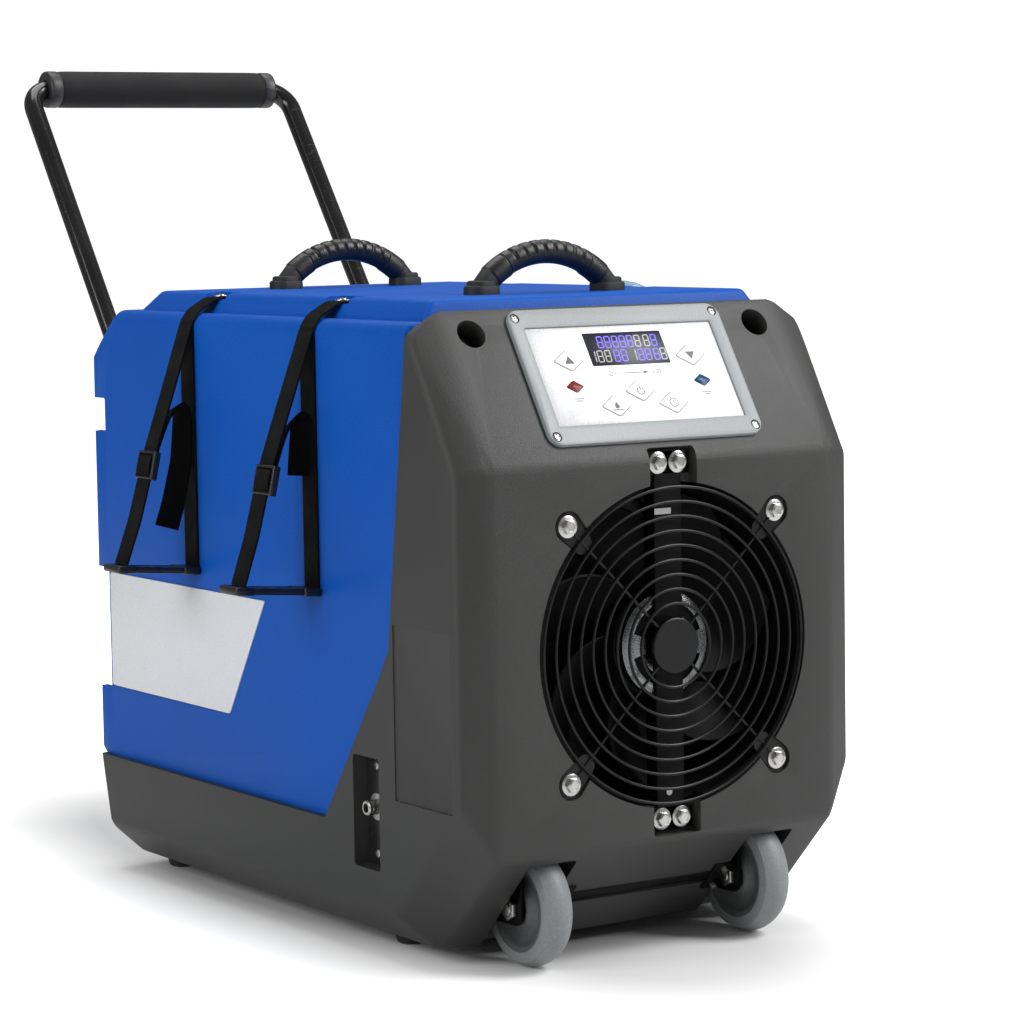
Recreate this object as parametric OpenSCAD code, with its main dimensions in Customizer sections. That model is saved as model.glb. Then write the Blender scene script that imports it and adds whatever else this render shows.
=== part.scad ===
// Wheeled rotomoulded dehumidifier: grey front and base shell, blue rear shell, axial fan
// behind a ring guard, tilted control panel, folding pull handle, hose straps on both sides.
// Front faces -Y, +Z is up, the floor is z = 0, and the origin is under the middle of the
// bounding box. Inside the modules y = 0 is the flat front face; placed() moves it back.

/* [Body] */
// Overall width over the grey shell
body_w = 400; // [340:5:500]
// Depth from the front face to the rear of the base
body_d = 655; // [560:5:800]
// Height of the grey shell's top edge
body_h = 545; // [480:5:640]
// Wall thickness of both moulded shells
wall = 4; // [3:0.5:6]
// Height of the base ledge on which the blue shell stands
base_h = 108; // [95:1:130]
// Height of the underside above the floor
ground_gap = 13; // [8:1:20]
// Width of the bevel down each front edge
edge_bevel = 28; // [18:1:34]
// How far the blue shell is set in from the grey one, each side
blue_inset = 7; // [6.6:0.2:12]
// How far the top plateau stands above the blue shoulder
plateau_h = 18; // [10:1:24]

/* [Front and controls] */
// Height of the lower edge of the flat front face
front_low = 100; // [92:1:110]
// Height of the fold where the face starts to lean back
front_fold = 418; // [405:1:450]
// How far the leaning face runs back at its top
lean_back = 81; // [60:1:110]
// Width of the control bezel
bezel_w = 216; // [190:2:240]
// Height of the control bezel along the leaning face
bezel_h = 128; // [112:1:136]
// Travel of a key
key_travel = 0.6; // [0.3:0.1:1]

/* [Fan] */
// Radius of the fan opening
fan_r = 136; // [110:1:140]
// Height of the fan's axis
fan_z = 262; // [250:1:275]
// Sideways place of the fan's axis
fan_x = 8; // [-10:1:10]
// Gap between the blade tips and the shroud
tip_gap = 3; // [2:0.5:8]
// Number of fan blades
blades = 7; // [3:1:9]
// Number of rings in the guard
guard_rings = 9; // [4:1:10]

/* [Wheels] */
// Wheel diameter
wheel_d = 100; // [80:1:104]
// Wheel width
wheel_w = 26; // [18:1:32]
// Distance of each wheel's middle from the centre line
wheel_x = 112; // [100:1:125]
// Axle bolt diameter
axle_d = 10; // [8:1:12]
// Lift of the wheels above the floor while the feet carry the weight
wheel_lift = 0.5; // [0:0.5:3]

/* [Pull handle] */
// Distance between the two arms, middle to middle
handle_w = 298; // [250:2:320]
// Length from the pivot to the grip's axis
handle_l = 387; // [320:1:390]
// Diameter of the handle tube
handle_tube_d = 19; // [14:0.5:22]
// Diameter of the foam grip
grip_d = 37; // [28:1:44]
// Lean of the raised handle from upright
handle_lean = 36; // [10:1:60]

/* [Carry handles and straps] */
// Span of a carry handle between its ends
carry_span = 150; // [120:2:200]
// Height of a carry handle above the plateau
carry_rise = 42; // [38:1:60]
// Webbing width of the hose straps
strap_w = 24; // [16:1:30]
// Webbing thickness
strap_t = 2; // [1.5:0.1:2.5]
// Reach of a strap bar from the shell's side
bar_reach = 80; // [60:1:100]

/* [Hose] */
// Outside diameter of the drain hose
hose_d = 13; // [10:0.5:13]
// Radius of the stowed coil at the middle of its turns
coil_r = 108; // [100:1:110]

/* [Hidden] */
$fn = 64;
e = 0.01;
gap = 0.3;
run_gap = 0.05;

// --- places shared by several pieces
half_w = body_w / 2;
flat_half = half_w - edge_bevel;
bevel_back = 12;
side_low = 42;
pivot_back = 1;
pivot_y = body_d + pivot_back;
pivot_z = body_h - 108;
rear_wall_y = body_d - 15;
flange_y = body_d + 10;
blue_half = half_w - blue_inset;
shoulder_z = body_h - 11;
plateau_z = shoulder_z + plateau_h;
tilt_a = atan2(lean_back, body_h - front_fold);
tilt_len = norm([lean_back, body_h - front_fold]);
guard_bolt_d = 8;
guard_wire = 2.6;
ear_deep = 4;
ear_t = 2;
axle_y = 45;
front_most = min(ear_deep - ear_t - guard_bolt_d * 0.75, axle_y - wheel_d / 2);
rear_most = pivot_y + handle_l * sin(handle_lean) + grip_d / 2;
y_mid = (front_most + rear_most) / 2;

// Moves the model so that the origin is under the middle of its box
module placed() translate([0, -y_mid, 0]) children();

// Draws on the leaning face: x across, y up the face from the fold, z out of the face
module on_lean() translate([0, 0, front_fold]) rotate([90 - tilt_a, 0, 0]) children();

// A bar from y0 to y1 along +Y with its axis at x, z
module along_y(x, z, y0, y1, r) translate([x, y0, z]) rotate([-90, 0, 0]) cylinder(r = r, h = y1 - y0);

// A bar from x0 to x1 along +X with its axis at y, z
module along_x(y, z, x0, x1, r) translate([x0, y, z]) rotate([0, 90, 0]) cylinder(r = r, h = x1 - x0);

// A box from its lowest to its highest corner
module block(low, high) translate(low) cube(high - low);

// A profile in the Y-Z plane made w wide across X
module across(w) translate([-w / 2, 0, 0]) rotate([90, 0, 90]) linear_extrude(w) children();

module both_sides() { children(); mirror([1, 0, 0]) children(); }

module round_rect(w, h, r) {
  square([w - 2 * r, h], center = true);
  square([w, h - 2 * r], center = true);
  for (sx = [-1, 1], sy = [-1, 1])
    translate([sx * (w / 2 - r), sy * (h / 2 - r)]) circle(r);
}

// A hexagon-headed flange bolt along +Y with its washer face at y = 0
washer_by = 2.3;
module flange_bolt(d, l) rotate([-90, 0, 0]) {
  translate([0, 0, -d * 0.15]) cylinder(d = d * washer_by, h = d * 0.15);
  translate([0, 0, -d * 0.75]) cylinder(d = d * 1.75, h = d * 0.6 + e, $fn = 6);
  translate([0, 0, -e]) cylinder(d = d, h = l);
}

// --- outer shape of the grey shell
slope_y = front_low - ground_gap - 3;
full_side = [[0, front_low], [0, front_fold], [lean_back, body_h], [body_d, body_h],
  [body_d, base_h], [body_d - 15, 30], [body_d - 30, ground_gap], [slope_y, ground_gap]];
thin_side = [[bevel_back, front_low + 46], [bevel_back, front_fold - 7],
  [lean_back - 5, body_h - 21], [body_d, body_h - 21], [body_d, base_h],
  [body_d - 17, side_low], [slope_y + 29, side_low]];

module grey_body(inset) hull() {
  across(2 * flat_half) offset(delta = -inset) polygon(full_side);
  across(2 * (half_w - inset)) offset(delta = -inset) polygon(thin_side);
}

// Line that parts grey from blue: down the side and back along the base
seam = [[lean_back + 5, body_h + 60], [lean_back - 1, body_h - 5], [lean_back + 36, front_fold - 154],
  [lean_back + 49, front_fold - 175], [lean_back + 146, base_h]];
module grey_region() across(body_w + 20) polygon(concat([[-20, -10], [-20, body_h + 60]], seam,
  [[body_d + 40, base_h], [body_d + 40, -10]]));

// --- fan and bolt places
guard_pitch = fan_r * 0.778;
bolt_hole = guard_bolt_d + 0.5;
notch_half = 24;
notch_deep = 12;
notch_top = front_fold + 9;
notch_low = front_low + 3;
strut_bolt_dx = 10;
strut_bolt_z = [notch_low + 13, notch_top - 13];
module at_guard_bolts() for (sx = [-1, 1], sz = [-1, 1])
  translate([fan_x + sx * guard_pitch, 0, fan_z + sz * guard_pitch]) children();
// Pockets that take the guard's four ears
module ear_pockets(grow, deep) for (sx = [-1, 1], sz = [-1, 1]) hull() {
  translate([fan_x + sx * guard_pitch, 0, fan_z + sz * guard_pitch]) along_y(0, 0, 0, deep, 13 + grow);
  translate([fan_x + sx * fan_r * 0.66, 0, fan_z + sz * fan_r * 0.66]) along_y(0, 0, 0, deep, 10 + grow);
}
module at_strut_bolts() for (sx = [-1, 1], z = strut_bolt_z)
  translate([fan_x + sx * strut_bolt_dx, 0, z]) children();

// --- wheel places
wheel_r = wheel_d / 2;
axle_z = wheel_r + wheel_lift;
well_half = wheel_w / 2 + 11;
well_y = [8, axle_y + wheel_r + 9];
well_top = axle_z + wheel_r + 7;

// --- control places on the leaning face
panel_w = bezel_w - 27;
panel_h = bezel_h - 35.5;
panel_s = tilt_len / 2 + 5;
bezel_t = 4;
panel_t = 2.5;
window_w = panel_w - 13;
window_h = panel_h - 12;
bezel_screw = [bezel_w / 2 - 7, bezel_h / 2 - 8];
deep_hole = [145, tilt_len - 25];
display_size = [79, 31];
display_at = [0, 24];
lens_at = [65, -10];
key_at = [[-62, 14.5], [62, 14.5], [-2, -17], [-31, -30], [27, -30]];
key_half = [15, 10];
board_z = -15;
board_size = [panel_w + 11, panel_h + 20];
module at_bezel_screws() for (sx = [-1, 1], sy = [-1, 1])
  translate([sx * bezel_screw[0], panel_s + sy * bezel_screw[1], 0]) children();

// --- drain pocket on the left side
pocket_y = [136, 178];
pocket_z = [75, 170];
pocket_deep = 16;
port_at = [158, 126];
port_r = 6.5;
port_len = 13;
plate_t = 3;
plate_x = -half_w + pocket_deep - plate_t;

// --- rear: filter opening, handle pivots
filter_half = 122;
filter_z = [153, pivot_z + 43];
filter_gap = 3;
pivot_pin_d = 10;
pivot_boss_r = 12;
bracket_gap = 0.5;
bracket_t = 3;
rear_bolt = [half_w - 14, pivot_z - 3];
bracket_screw_dz = 26;
rear_screw_hole = 3.2;
gland_at = [-half_w + 50, 128];
gland_r = 8;

// --- strap and carry handle places
strap_y = [250, 468];
anchor_x = 160;
anchor_z = plateau_z - 6;
module at_strap_screws() for (y = strap_y) translate([anchor_x - 2, y, anchor_z]) children();
bar_z = 304;
bar_rise = 7;
bar_t = 7;
carry_y = [174, 511];
carry_tube = 22;

port_screw_z = [pocket_z[0] + 11, pocket_z[1] - 9];
module port_screw_holes() for (z = port_screw_z)
  along_x(port_at[0], z, -half_w, -half_w + 40, 2);

// The drain pocket's room with its walls, within the grey shell
module pocket_box(grow) intersection() {
  block([-half_w, pocket_y[0] - grow, pocket_z[0] - grow],
    [-half_w + pocket_deep + grow, pocket_y[1] + grow, pocket_z[1] + grow]);
  grey_region();
}

// The two deep screw wells of the leaning face
well_d = 26;
module screw_wells(grow, deep) on_lean() for (sx = [-1, 1])
  translate([sx * deep_hole[0], deep_hole[1], -deep]) cylinder(d = well_d + 2 * grow, h = deep + 12);

module grey_cuts() {
  port_screw_holes();
  // fan opening and the notches that take the strut's ends
  along_y(fan_x, fan_z, -20, 40, fan_r);
  block([fan_x - notch_half, -20, fan_z], [fan_x + notch_half, notch_deep, notch_top]);
  block([fan_x - notch_half, -20, notch_low], [fan_x + notch_half, notch_deep, fan_z]);
  at_guard_bolts() along_y(0, 0, -20, 30, bolt_hole / 2);
  at_strut_bolts() along_y(0, 0, -20, 30, bolt_hole / 2);
  translate([0, -1, 0]) ear_pockets(0, ear_deep + 1);
  // wheel wells
  both_sides() block([wheel_x - well_half, well_y[0], -5], [wheel_x + well_half, well_y[1], well_top]);
  // panel window, bezel screws and the two deep screw wells
  on_lean() {
    translate([0, panel_s, -20]) linear_extrude(40) square([window_w, window_h], center = true);
    at_bezel_screws() translate([0, 0, -20]) cylinder(d = 4.4, h = 40);
  }
  screw_wells(0, 24);
  // drain pocket
  block([-half_w - 5, pocket_y[0], pocket_z[0]], [-half_w + pocket_deep, pocket_y[1], pocket_z[1]]);
  along_x(port_at[0], port_at[1], -half_w, -half_w + 60, port_r + 2);
  // shallow rectangular recess on each side
  both_sides() block([half_w - 1.5, 22, 139], [half_w + 5, 110, 286]);
}

module front_shell() color([0.30, 0.31, 0.30]) difference() {
  intersection() {
    grey_body(0);
    union() {
      difference() { grey_region(); grey_body(wall); }
      // floors and walls of the notches, wells, pocket and screw wells
      difference() {
        block([fan_x - notch_half - wall, 0, notch_low - wall],
          [fan_x + notch_half + wall, notch_deep + wall, notch_top + wall]);
        along_y(fan_x, fan_z, -20, 40, fan_r);
      }
      difference() {
        ear_pockets(wall, ear_deep + wall);
        along_y(fan_x, fan_z, -20, 40, fan_r);
      }
      both_sides() block([wheel_x - well_half - wall, e, ground_gap],
        [wheel_x + well_half + wall, well_y[1] + wall, well_top + wall]);
      pocket_box(wall);
      screw_wells(wall, 28);
      // rim inside the base that carries the blue shell
      both_sides() block([blue_half - wall - 4, lean_back + 160, base_h - 18],
        [half_w - wall + e, body_d - 40, base_h - 13]);
      // deck that closes the base behind and beside the blue shell
      block([-half_w, rear_wall_y + gap + 1, base_h - wall], [half_w, body_d, base_h]);
      both_sides() block([blue_half + gap, seam[4][0], base_h - wall], [half_w, body_d, base_h]);
    }
  }
  grey_cuts();
}

// --- blue rear shell
function blue_full(top) = [[slope_y, base_h - 13], [slope_y, front_fold - 60],
  [lean_back + 14, top], [body_d - 37, top], [flange_y - 1, body_h - 54],
  [flange_y, base_h + 4], [flange_y - 6, base_h + 1], [body_d - 14, base_h + 1],
  [body_d - 14, base_h - 13]];

module blue_body(inset) hull() {
  across(2 * (blue_half - 7)) offset(delta = -inset) polygon(blue_full(shoulder_z));
  across(2 * (blue_half - inset)) offset(delta = -inset) polygon(blue_full(shoulder_z - 8));
}

module plateau(inset) hull() {
  block([-blue_half + 20 + inset, lean_back + 16 + inset, shoulder_z - 10],
    [blue_half - 20 - inset, body_d - 55 - inset, shoulder_z]);
  block([-blue_half + 32 + inset, lean_back + 22 + inset, shoulder_z],
    [blue_half - 32 - inset, body_d - 75 - inset, plateau_z - inset]);
}

// The blue shell tucks this far under the grey one along the seam
tuck = 8;
module blue_region() {
  across(body_w + 20) polygon([for (p = seam) p + [p[1] > base_h ? -tuck : 0, -13],
    [rear_wall_y + 1, base_h - 13], [rear_wall_y + 1, base_h + gap], [body_d + 40, base_h + gap],
    [body_d + 40, body_h + 60]]);
}

// Side outline of the label plate, in y and z
module label_shape(grow) offset(delta = grow) polygon([[body_d - 17, 284], [body_d - 319, 284],
  [body_d - 250, 175], [body_d - 17, 175]]);

module rear_cuts() {
  // recess between the side flanges, filter opening, bolt holes
  block([-blue_half + 7, rear_wall_y, base_h - 20], [blue_half - 7, body_d + 60, body_h + 60]);
  block([-filter_half - filter_gap, rear_wall_y - 20, filter_z[0] - filter_gap],
    [filter_half + filter_gap, rear_wall_y + 20, filter_z[1] + filter_gap]);
  both_sides() {
    along_y(rear_bolt[0], rear_bolt[1], rear_wall_y - 30, rear_wall_y + 30, rear_screw_hole);
    block([blue_half - 8, rear_wall_y, rear_bolt[1] - 16], [half_w, body_d + 60, rear_bolt[1] + 16]);
    block([blue_half - 8, rear_wall_y, 172], [half_w, body_d + 60, 288]);
    for (sz = [-1, 1])
      along_y(handle_w / 2, pivot_z + sz * bracket_screw_dz, rear_wall_y - 30, rear_wall_y + 30,
        rear_screw_hole);
    // strap anchor recesses, open to the side
    for (y = strap_y)
      block([anchor_x - 14, y - 18, anchor_z], [half_w, y + 18, plateau_z + 10]);
    // recess for the label plate
    translate([blue_half - 2, 0, 0]) rotate([90, 0, 90]) linear_extrude(10) label_shape(0.5);
  }
  // room for the drain pocket, and the cable gland's hole
  pocket_box(wall + gap);
  screw_wells(wall + gap, 28 + gap);
  along_y(gland_at[0], gland_at[1], rear_wall_y - 30, rear_wall_y + 30, gland_r + 0.2);
}

module rear_shell() color([0.10, 0.33, 0.72]) difference() {
  union() {
    difference() {
      union() { blue_body(0); plateau(0); }
      intersection() {
        union() {
          blue_body(wall);
          plateau(wall);
          // open underneath
          block([-blue_half + wall, slope_y, base_h - 20], [blue_half - wall, body_d, base_h]);
        }
        block([-half_w, -10, -10], [half_w, rear_wall_y - wall, body_h + 60]);
      }
    }
    // floors of the strap anchor recesses
    both_sides() for (y = strap_y)
      block([anchor_x - 18, y - 22, anchor_z - wall], [blue_half - 32, y + 22, plateau_z - wall]);
  }
  difference() {
    block([-body_w, -50, -20], [body_w, body_d + 100, body_h + 100]);
    blue_region();
  }
  both_sides() at_strap_screws() translate([0, 0, -20]) cylinder(d = 4, h = 40);
  rear_cuts();
}

module label_plates() color([0.88, 0.90, 0.92]) both_sides()
  translate([blue_half - 2, 0, 0]) rotate([90, 0, 90]) linear_extrude(1.6) label_shape(0);

// --- control panel group
module control_bezel() color([0.66, 0.69, 0.71]) on_lean() translate([0, panel_s, 0]) difference() {
  linear_extrude(bezel_t) round_rect(bezel_w, bezel_h, 12);
  translate([0, 0, -1]) linear_extrude(10) square([panel_w + 2 * gap, panel_h + 2 * gap], center = true);
  for (sx = [-1, 1], sy = [-1, 1])
    translate([sx * bezel_screw[0], sy * bezel_screw[1], -1]) cylinder(d = 4.4, h = 10);
}

module diamond(half, grow = 0) {
  polygon([[-half[0] - grow, 0], [0, -half[1] - grow], [half[0] + grow, 0], [0, half[1] + grow]]);
}

module control_panel() color([0.93, 0.94, 0.95]) on_lean() translate([0, panel_s, 0]) difference() {
  linear_extrude(panel_t) square([panel_w, panel_h], center = true);
  translate([0, 0, -1]) linear_extrude(10) {
    translate(display_at) square(display_size + [2 * gap, 2 * gap], center = true);
    for (p = key_at) translate(p) diamond(key_half, gap);
    for (sx = [-1, 1]) translate([sx * lens_at[0], lens_at[1]]) diamond([9, 6], gap);
  }
}

module display_window() color([0.08, 0.08, 0.16]) on_lean()
  translate([display_at[0], panel_s + display_at[1], 0.5]) linear_extrude(panel_t - 0.3)
    square(display_size, center = true);

module status_lenses() color([0.75, 0.05, 0.08]) on_lean() for (sx = [-1, 1])
  translate([sx * lens_at[0], panel_s + lens_at[1], board_z + 1.6])
    linear_extrude(panel_t - board_z - 1) diamond([9, 6]);

// A pan-headed screw along +Z with its head's underside at z = 0
module pan_screw(l, washer) {
  difference() {
    cylinder(d = 8, h = 2.6);
    for (a = [0, 90]) translate([0, 0, 2.2]) rotate([0, 0, a]) cube([5, 1.1, 2.4], center = true);
  }
  if (washer) cylinder(d = 14, h = 1.2);
  translate([0, 0, -l]) cylinder(d = 4, h = l + e);
}
module pan_screws() color([0.70, 0.72, 0.72]) {
  on_lean() at_bezel_screws() translate([0, 0, bezel_t]) pan_screw(bezel_t + 6, false);
  both_sides() for (y = strap_y)
    translate([anchor_x - 2, y, anchor_z + off + strap_t / 2]) pan_screw(strap_t + 8, true);
  for (z = port_screw_z)
    translate([plate_x, port_at[0], z]) rotate([0, -90, 0]) pan_screw(10, false);
}

module deep_screws() color([0.60, 0.61, 0.61]) on_lean() for (sx = [-1, 1])
  translate([sx * deep_hole[0], deep_hole[1], -24]) difference() {
    cylinder(d = 14, h = 6);
    translate([0, 0, 3]) cylinder(d = 7, h = 6, $fn = 6);
  }

module key(i) color([0.95, 0.95, 0.96]) on_lean()
  translate([key_at[i][0], panel_s + key_at[i][1], 0.2]) linear_extrude(panel_t + 0.5) diamond(key_half);

module control_board() color([0.10, 0.38, 0.20]) on_lean() translate([0, panel_s, 0]) {
  translate([0, 0, board_z]) linear_extrude(1.6) square(board_size, center = true);
  // display module and one switch under each key
  translate([display_at[0], display_at[1], board_z]) linear_extrude(0.5 - board_z)
    square(display_size - [6, 6], center = true);
  for (p = key_at) translate([p[0], p[1], board_z])
    cylinder(d = 6, h = -board_z - key_travel);
  for (sx = [-1, 1], sy = [-1, 1])
    translate([sx * (board_size[0] / 2 - 5), sy * (board_size[1] / 2 - 5), board_z])
      cylinder(d = 8, h = -board_z - wall);
}

// --- fan group
first_ring_r = 35;
ring_step = (fan_r - 4 - first_ring_r) / (guard_rings - 1);
guard_hub_r = 23;
ear_r = 11;
ear_out = guard_pitch * sqrt(2);
rib_in = guard_hub_r - 5;
// The ribs stop on the ears, just before the bolts' washers
rib_out = ear_out - guard_bolt_d * washer_by / 2 - 0.4;
module fan_guard() color([0.05, 0.05, 0.05]) difference() {
  union() {
    for (i = [0 : guard_rings - 1])
      translate([fan_x, 0, fan_z]) rotate([-90, 0, 0]) rotate_extrude()
        translate([first_ring_r + i * ring_step, 0]) circle(d = guard_wire, $fn = 24);
    // hub disc, four ribs with ears
    along_y(fan_x, fan_z, -guard_wire / 2, guard_wire / 2 + 1, guard_hub_r);
    for (a = [45 : 90 : 315]) translate([fan_x, 0, fan_z]) rotate([0, -a, 0]) {
      translate([rib_in, guard_wire * 0.8, 0]) rotate([0, 90, 0])
        cylinder(d = guard_wire, h = rib_out - rib_in, $fn = 24);
      along_y(ear_out, 0, ear_deep - ear_t, ear_deep, ear_r);
    }
  }
  at_guard_bolts() along_y(0, 0, -20, 20, bolt_hole / 2);
}

module flange_bolts() color([0.72, 0.73, 0.72]) {
  at_guard_bolts() translate([0, ear_deep - ear_t, 0]) flange_bolt(guard_bolt_d, 22);
  at_strut_bolts() translate([0, notch_deep - strut_t, 0]) flange_bolt(guard_bolt_d, 18);
}

strut_t = 3;
strut_half = 14;
strut_end_half = 22;
module fan_strut() color([0.06, 0.06, 0.06]) difference() {
  union() {
    block([fan_x - strut_half, notch_deep - strut_t, notch_low + 2],
      [fan_x + strut_half, notch_deep, notch_top - 2]);
    for (z = strut_bolt_z)
      block([fan_x - strut_end_half, notch_deep - strut_t, z - 10],
        [fan_x + strut_end_half, notch_deep, z + 10]);
  }
  at_strut_bolts() along_y(0, 0, -20, 30, bolt_hole / 2);
}

shroud_t = 3;
shroud_r = fan_r - shroud_t - 2;
module fan_shroud() color([0.08, 0.08, 0.08]) difference() {
  union() {
    along_y(fan_x, fan_z, wall, 74, shroud_r + shroud_t);
    along_y(fan_x, fan_z, wall + ear_deep, wall + ear_deep + 3, fan_r + 6);
  }
  along_y(fan_x, fan_z, 0, 80, shroud_r);
  block([fan_x - notch_half - wall - 1, 0, fan_z], [fan_x + notch_half + wall + 1, notch_deep + wall + 1,
    notch_top + 20]);
  block([fan_x - notch_half - wall - 1, 0, notch_low - 20], [fan_x + notch_half + wall + 1,
    notch_deep + wall + 1, fan_z]);
}

stator_y = [notch_deep, 58];
rotor_y = [24, 74];
rotor_r = 46;
shaft_d = 8;
blade_pitch = 32;
blade_t = 2.4;
blade_half = 46;
module motor_stator() color([0.62, 0.63, 0.64]) {
  along_y(fan_x, fan_z, stator_y[0], stator_y[1], 37);
  along_y(fan_x, fan_z, stator_y[1] - e, rotor_y[1] + 3, shaft_d / 2);
  // mounting flange with four screw heads against the strut
  along_y(fan_x, fan_z, notch_deep, notch_deep + 8, 44);
}

module fan_impeller() color([0.10, 0.10, 0.11]) difference() {
  union() {
    along_y(fan_x, fan_z, rotor_y[0], rotor_y[1], rotor_r);
    intersection() {
      along_y(fan_x, fan_z, rotor_y[0] + 4, rotor_y[1] - 4, shroud_r - tip_gap);
      for (i = [0 : blades - 1]) translate([fan_x, (rotor_y[0] + rotor_y[1]) / 2, fan_z])
        rotate([0, i * 360 / blades, 0]) translate([rotor_r - 3, 0, 0]) rotate([blade_pitch, 0, 0])
          translate([0, -blade_t / 2, -blade_half]) cube([shroud_r, blade_t, 2 * blade_half]);
    }
  }
  along_y(fan_x, fan_z, rotor_y[0] - 1, rotor_y[1] - 6, rotor_r - 5);
  along_y(fan_x, fan_z, 0, 90, shaft_d / 2 + run_gap);
}

// --- wheels, on the left (s = -1) and right (s = 1)
hub_r = wheel_r - 13;
tread_round = wheel_w * 0.62;
bearing_r = 13;
module tyre(s) color([0.42, 0.44, 0.45]) translate([s * wheel_x, axle_y, axle_z]) rotate([0, 90, 0])
  rotate_extrude($fn = 96) intersection() {
    translate([hub_r, -wheel_w / 2]) square([wheel_r - hub_r, wheel_w]);
    translate([wheel_r - tread_round, 0]) circle(r = tread_round);
  }
module hub(s) color([0.25, 0.26, 0.27]) difference() {
  along_x(axle_y, axle_z, s * wheel_x - wheel_w / 2 + 1, s * wheel_x + wheel_w / 2 - 1, hub_r);
  along_x(axle_y, axle_z, s * wheel_x - wheel_w, s * wheel_x + wheel_w, bearing_r);
  for (d = [-1, 1]) translate([s * wheel_x + d * wheel_w / 2, axle_y, axle_z]) rotate([0, 90, 0])
    difference() { cylinder(r = hub_r - 5, h = 12, center = true); cylinder(r = 19, h = 14, center = true); }
}
module bearing(s) color([0.75, 0.76, 0.77]) difference() {
  along_x(axle_y, axle_z, s * wheel_x - wheel_w / 2 + 1, s * wheel_x + wheel_w / 2 - 1, bearing_r);
  along_x(axle_y, axle_z, s * wheel_x - wheel_w, s * wheel_x + wheel_w, axle_d / 2 + run_gap);
}
fork_gap = 1.5;
fork_t = 3;
fork_x = wheel_w / 2 + fork_gap;
module wheel_forks() color([0.08, 0.08, 0.08]) for (s = [-1, 1]) difference() {
  union() {
    for (d = [-1, 1]) {
      block([s * wheel_x + d * (fork_x + fork_t / 2) - fork_t / 2, axle_y - 14, axle_z - 14],
        [s * wheel_x + d * (fork_x + fork_t / 2) + fork_t / 2, axle_y + 34, well_top]);
    }
    block([s * wheel_x - fork_x - fork_t, axle_y - 14, well_top - fork_t],
      [s * wheel_x + fork_x + fork_t, axle_y + 34, well_top]);
  }
  along_x(axle_y, axle_z, s * wheel_x - 40, s * wheel_x + 40, axle_d / 2);
}
module axle_bolts() color([0.70, 0.71, 0.70]) for (s = [-1, 1]) {
  along_x(axle_y, axle_z, s * wheel_x - fork_x - fork_t - 6, s * wheel_x + fork_x + fork_t, axle_d / 2);
  translate([s * wheel_x + fork_x + fork_t, axle_y, axle_z]) rotate([0, 90, 0])
    cylinder(d = axle_d * 1.8, h = 5, $fn = 6);
}
module axle_nuts() color([0.70, 0.71, 0.70]) for (s = [-1, 1])
  translate([s * wheel_x - fork_x - fork_t - 5, axle_y, axle_z]) rotate([0, 90, 0]) difference() {
    cylinder(d = axle_d * 1.9, h = 5, $fn = 6);
    translate([0, 0, -1]) cylinder(d = axle_d, h = 8);
  }

foot_y = [182, body_d - 55];
foot_x = half_w - 58;
module rubber_feet() color([0.05, 0.05, 0.05]) both_sides() for (y = foot_y)
  translate([foot_x, y, 0]) cylinder(d1 = 26, d2 = 32, h = ground_gap);

// --- pull handle: a tube bent to a U, drawn upright from its pivot, then leaned back
bend_r = 26;
module handle_pipe(r, start = 0) {
  both_sides() {
    translate([handle_w / 2, 0, start]) cylinder(r = r, h = handle_l - bend_r - start);
    translate([handle_w / 2 - bend_r, 0, handle_l - bend_r]) rotate([90, 0, 0])
      rotate_extrude(angle = 90) translate([bend_r, 0]) circle(r = r);
  }
  along_x(0, handle_l, -handle_w / 2 + bend_r, handle_w / 2 - bend_r, r);
}
module at_pivot() translate([0, pivot_y, pivot_z]) rotate([-handle_lean, 0, 0]) children();
boss_half = handle_tube_d / 2 + 0.3;
module handle_tube() color([0.04, 0.04, 0.04]) at_pivot() difference() {
  union() {
    handle_pipe(handle_tube_d / 2);
    for (s = [-1, 1])
      along_x(0, 0, s * handle_w / 2 - boss_half, s * handle_w / 2 + boss_half, pivot_boss_r);
  }
  handle_pipe(handle_tube_d / 2 - 2, 2 * pivot_boss_r);
  for (s = [-1, 1])
    along_x(0, 0, s * handle_w / 2 - 30, s * handle_w / 2 + 30, pivot_pin_d / 2 + run_gap);
}
grip_l = handle_w - 38;
module handle_grip() color([0.05, 0.05, 0.05]) at_pivot() difference() {
  along_x(0, handle_l, -grip_l / 2, grip_l / 2, grip_d / 2);
  handle_pipe(handle_tube_d / 2);
}
fork_half = boss_half + bracket_gap;
module handle_brackets() color([0.12, 0.12, 0.12]) for (s = [-1, 1]) difference() {
  union() {
    block([s * handle_w / 2 - fork_half - bracket_t, rear_wall_y, pivot_z - 36],
      [s * handle_w / 2 + fork_half + bracket_t, rear_wall_y + bracket_t, pivot_z + 36]);
    for (d = [-1, 1]) block([s * handle_w / 2 + d * (fork_half + bracket_t / 2) - bracket_t / 2,
      rear_wall_y, pivot_z - 16], [s * handle_w / 2 + d * (fork_half + bracket_t / 2) + bracket_t / 2,
      pivot_y + 15, pivot_z + 16]);
  }
  along_x(pivot_y, pivot_z, s * handle_w / 2 - 40, s * handle_w / 2 + 40, pivot_pin_d / 2);
  for (sz = [-1, 1])
    along_y(s * handle_w / 2, pivot_z + sz * bracket_screw_dz, rear_wall_y - 5, rear_wall_y + 9,
      rear_screw_hole);
}
module pivot_pins() color([0.72, 0.73, 0.72]) for (s = [-1, 1]) {
  along_x(pivot_y, pivot_z, s * handle_w / 2 - fork_half - bracket_t,
    s * handle_w / 2 + fork_half + bracket_t, pivot_pin_d / 2);
  for (d = [-1, 1]) along_x(pivot_y, pivot_z, s * handle_w / 2 + d * (fork_half + bracket_t + 1.5) - 1.5,
    s * handle_w / 2 + d * (fork_half + bracket_t + 1.5) + 1.5, 8);
}
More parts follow.
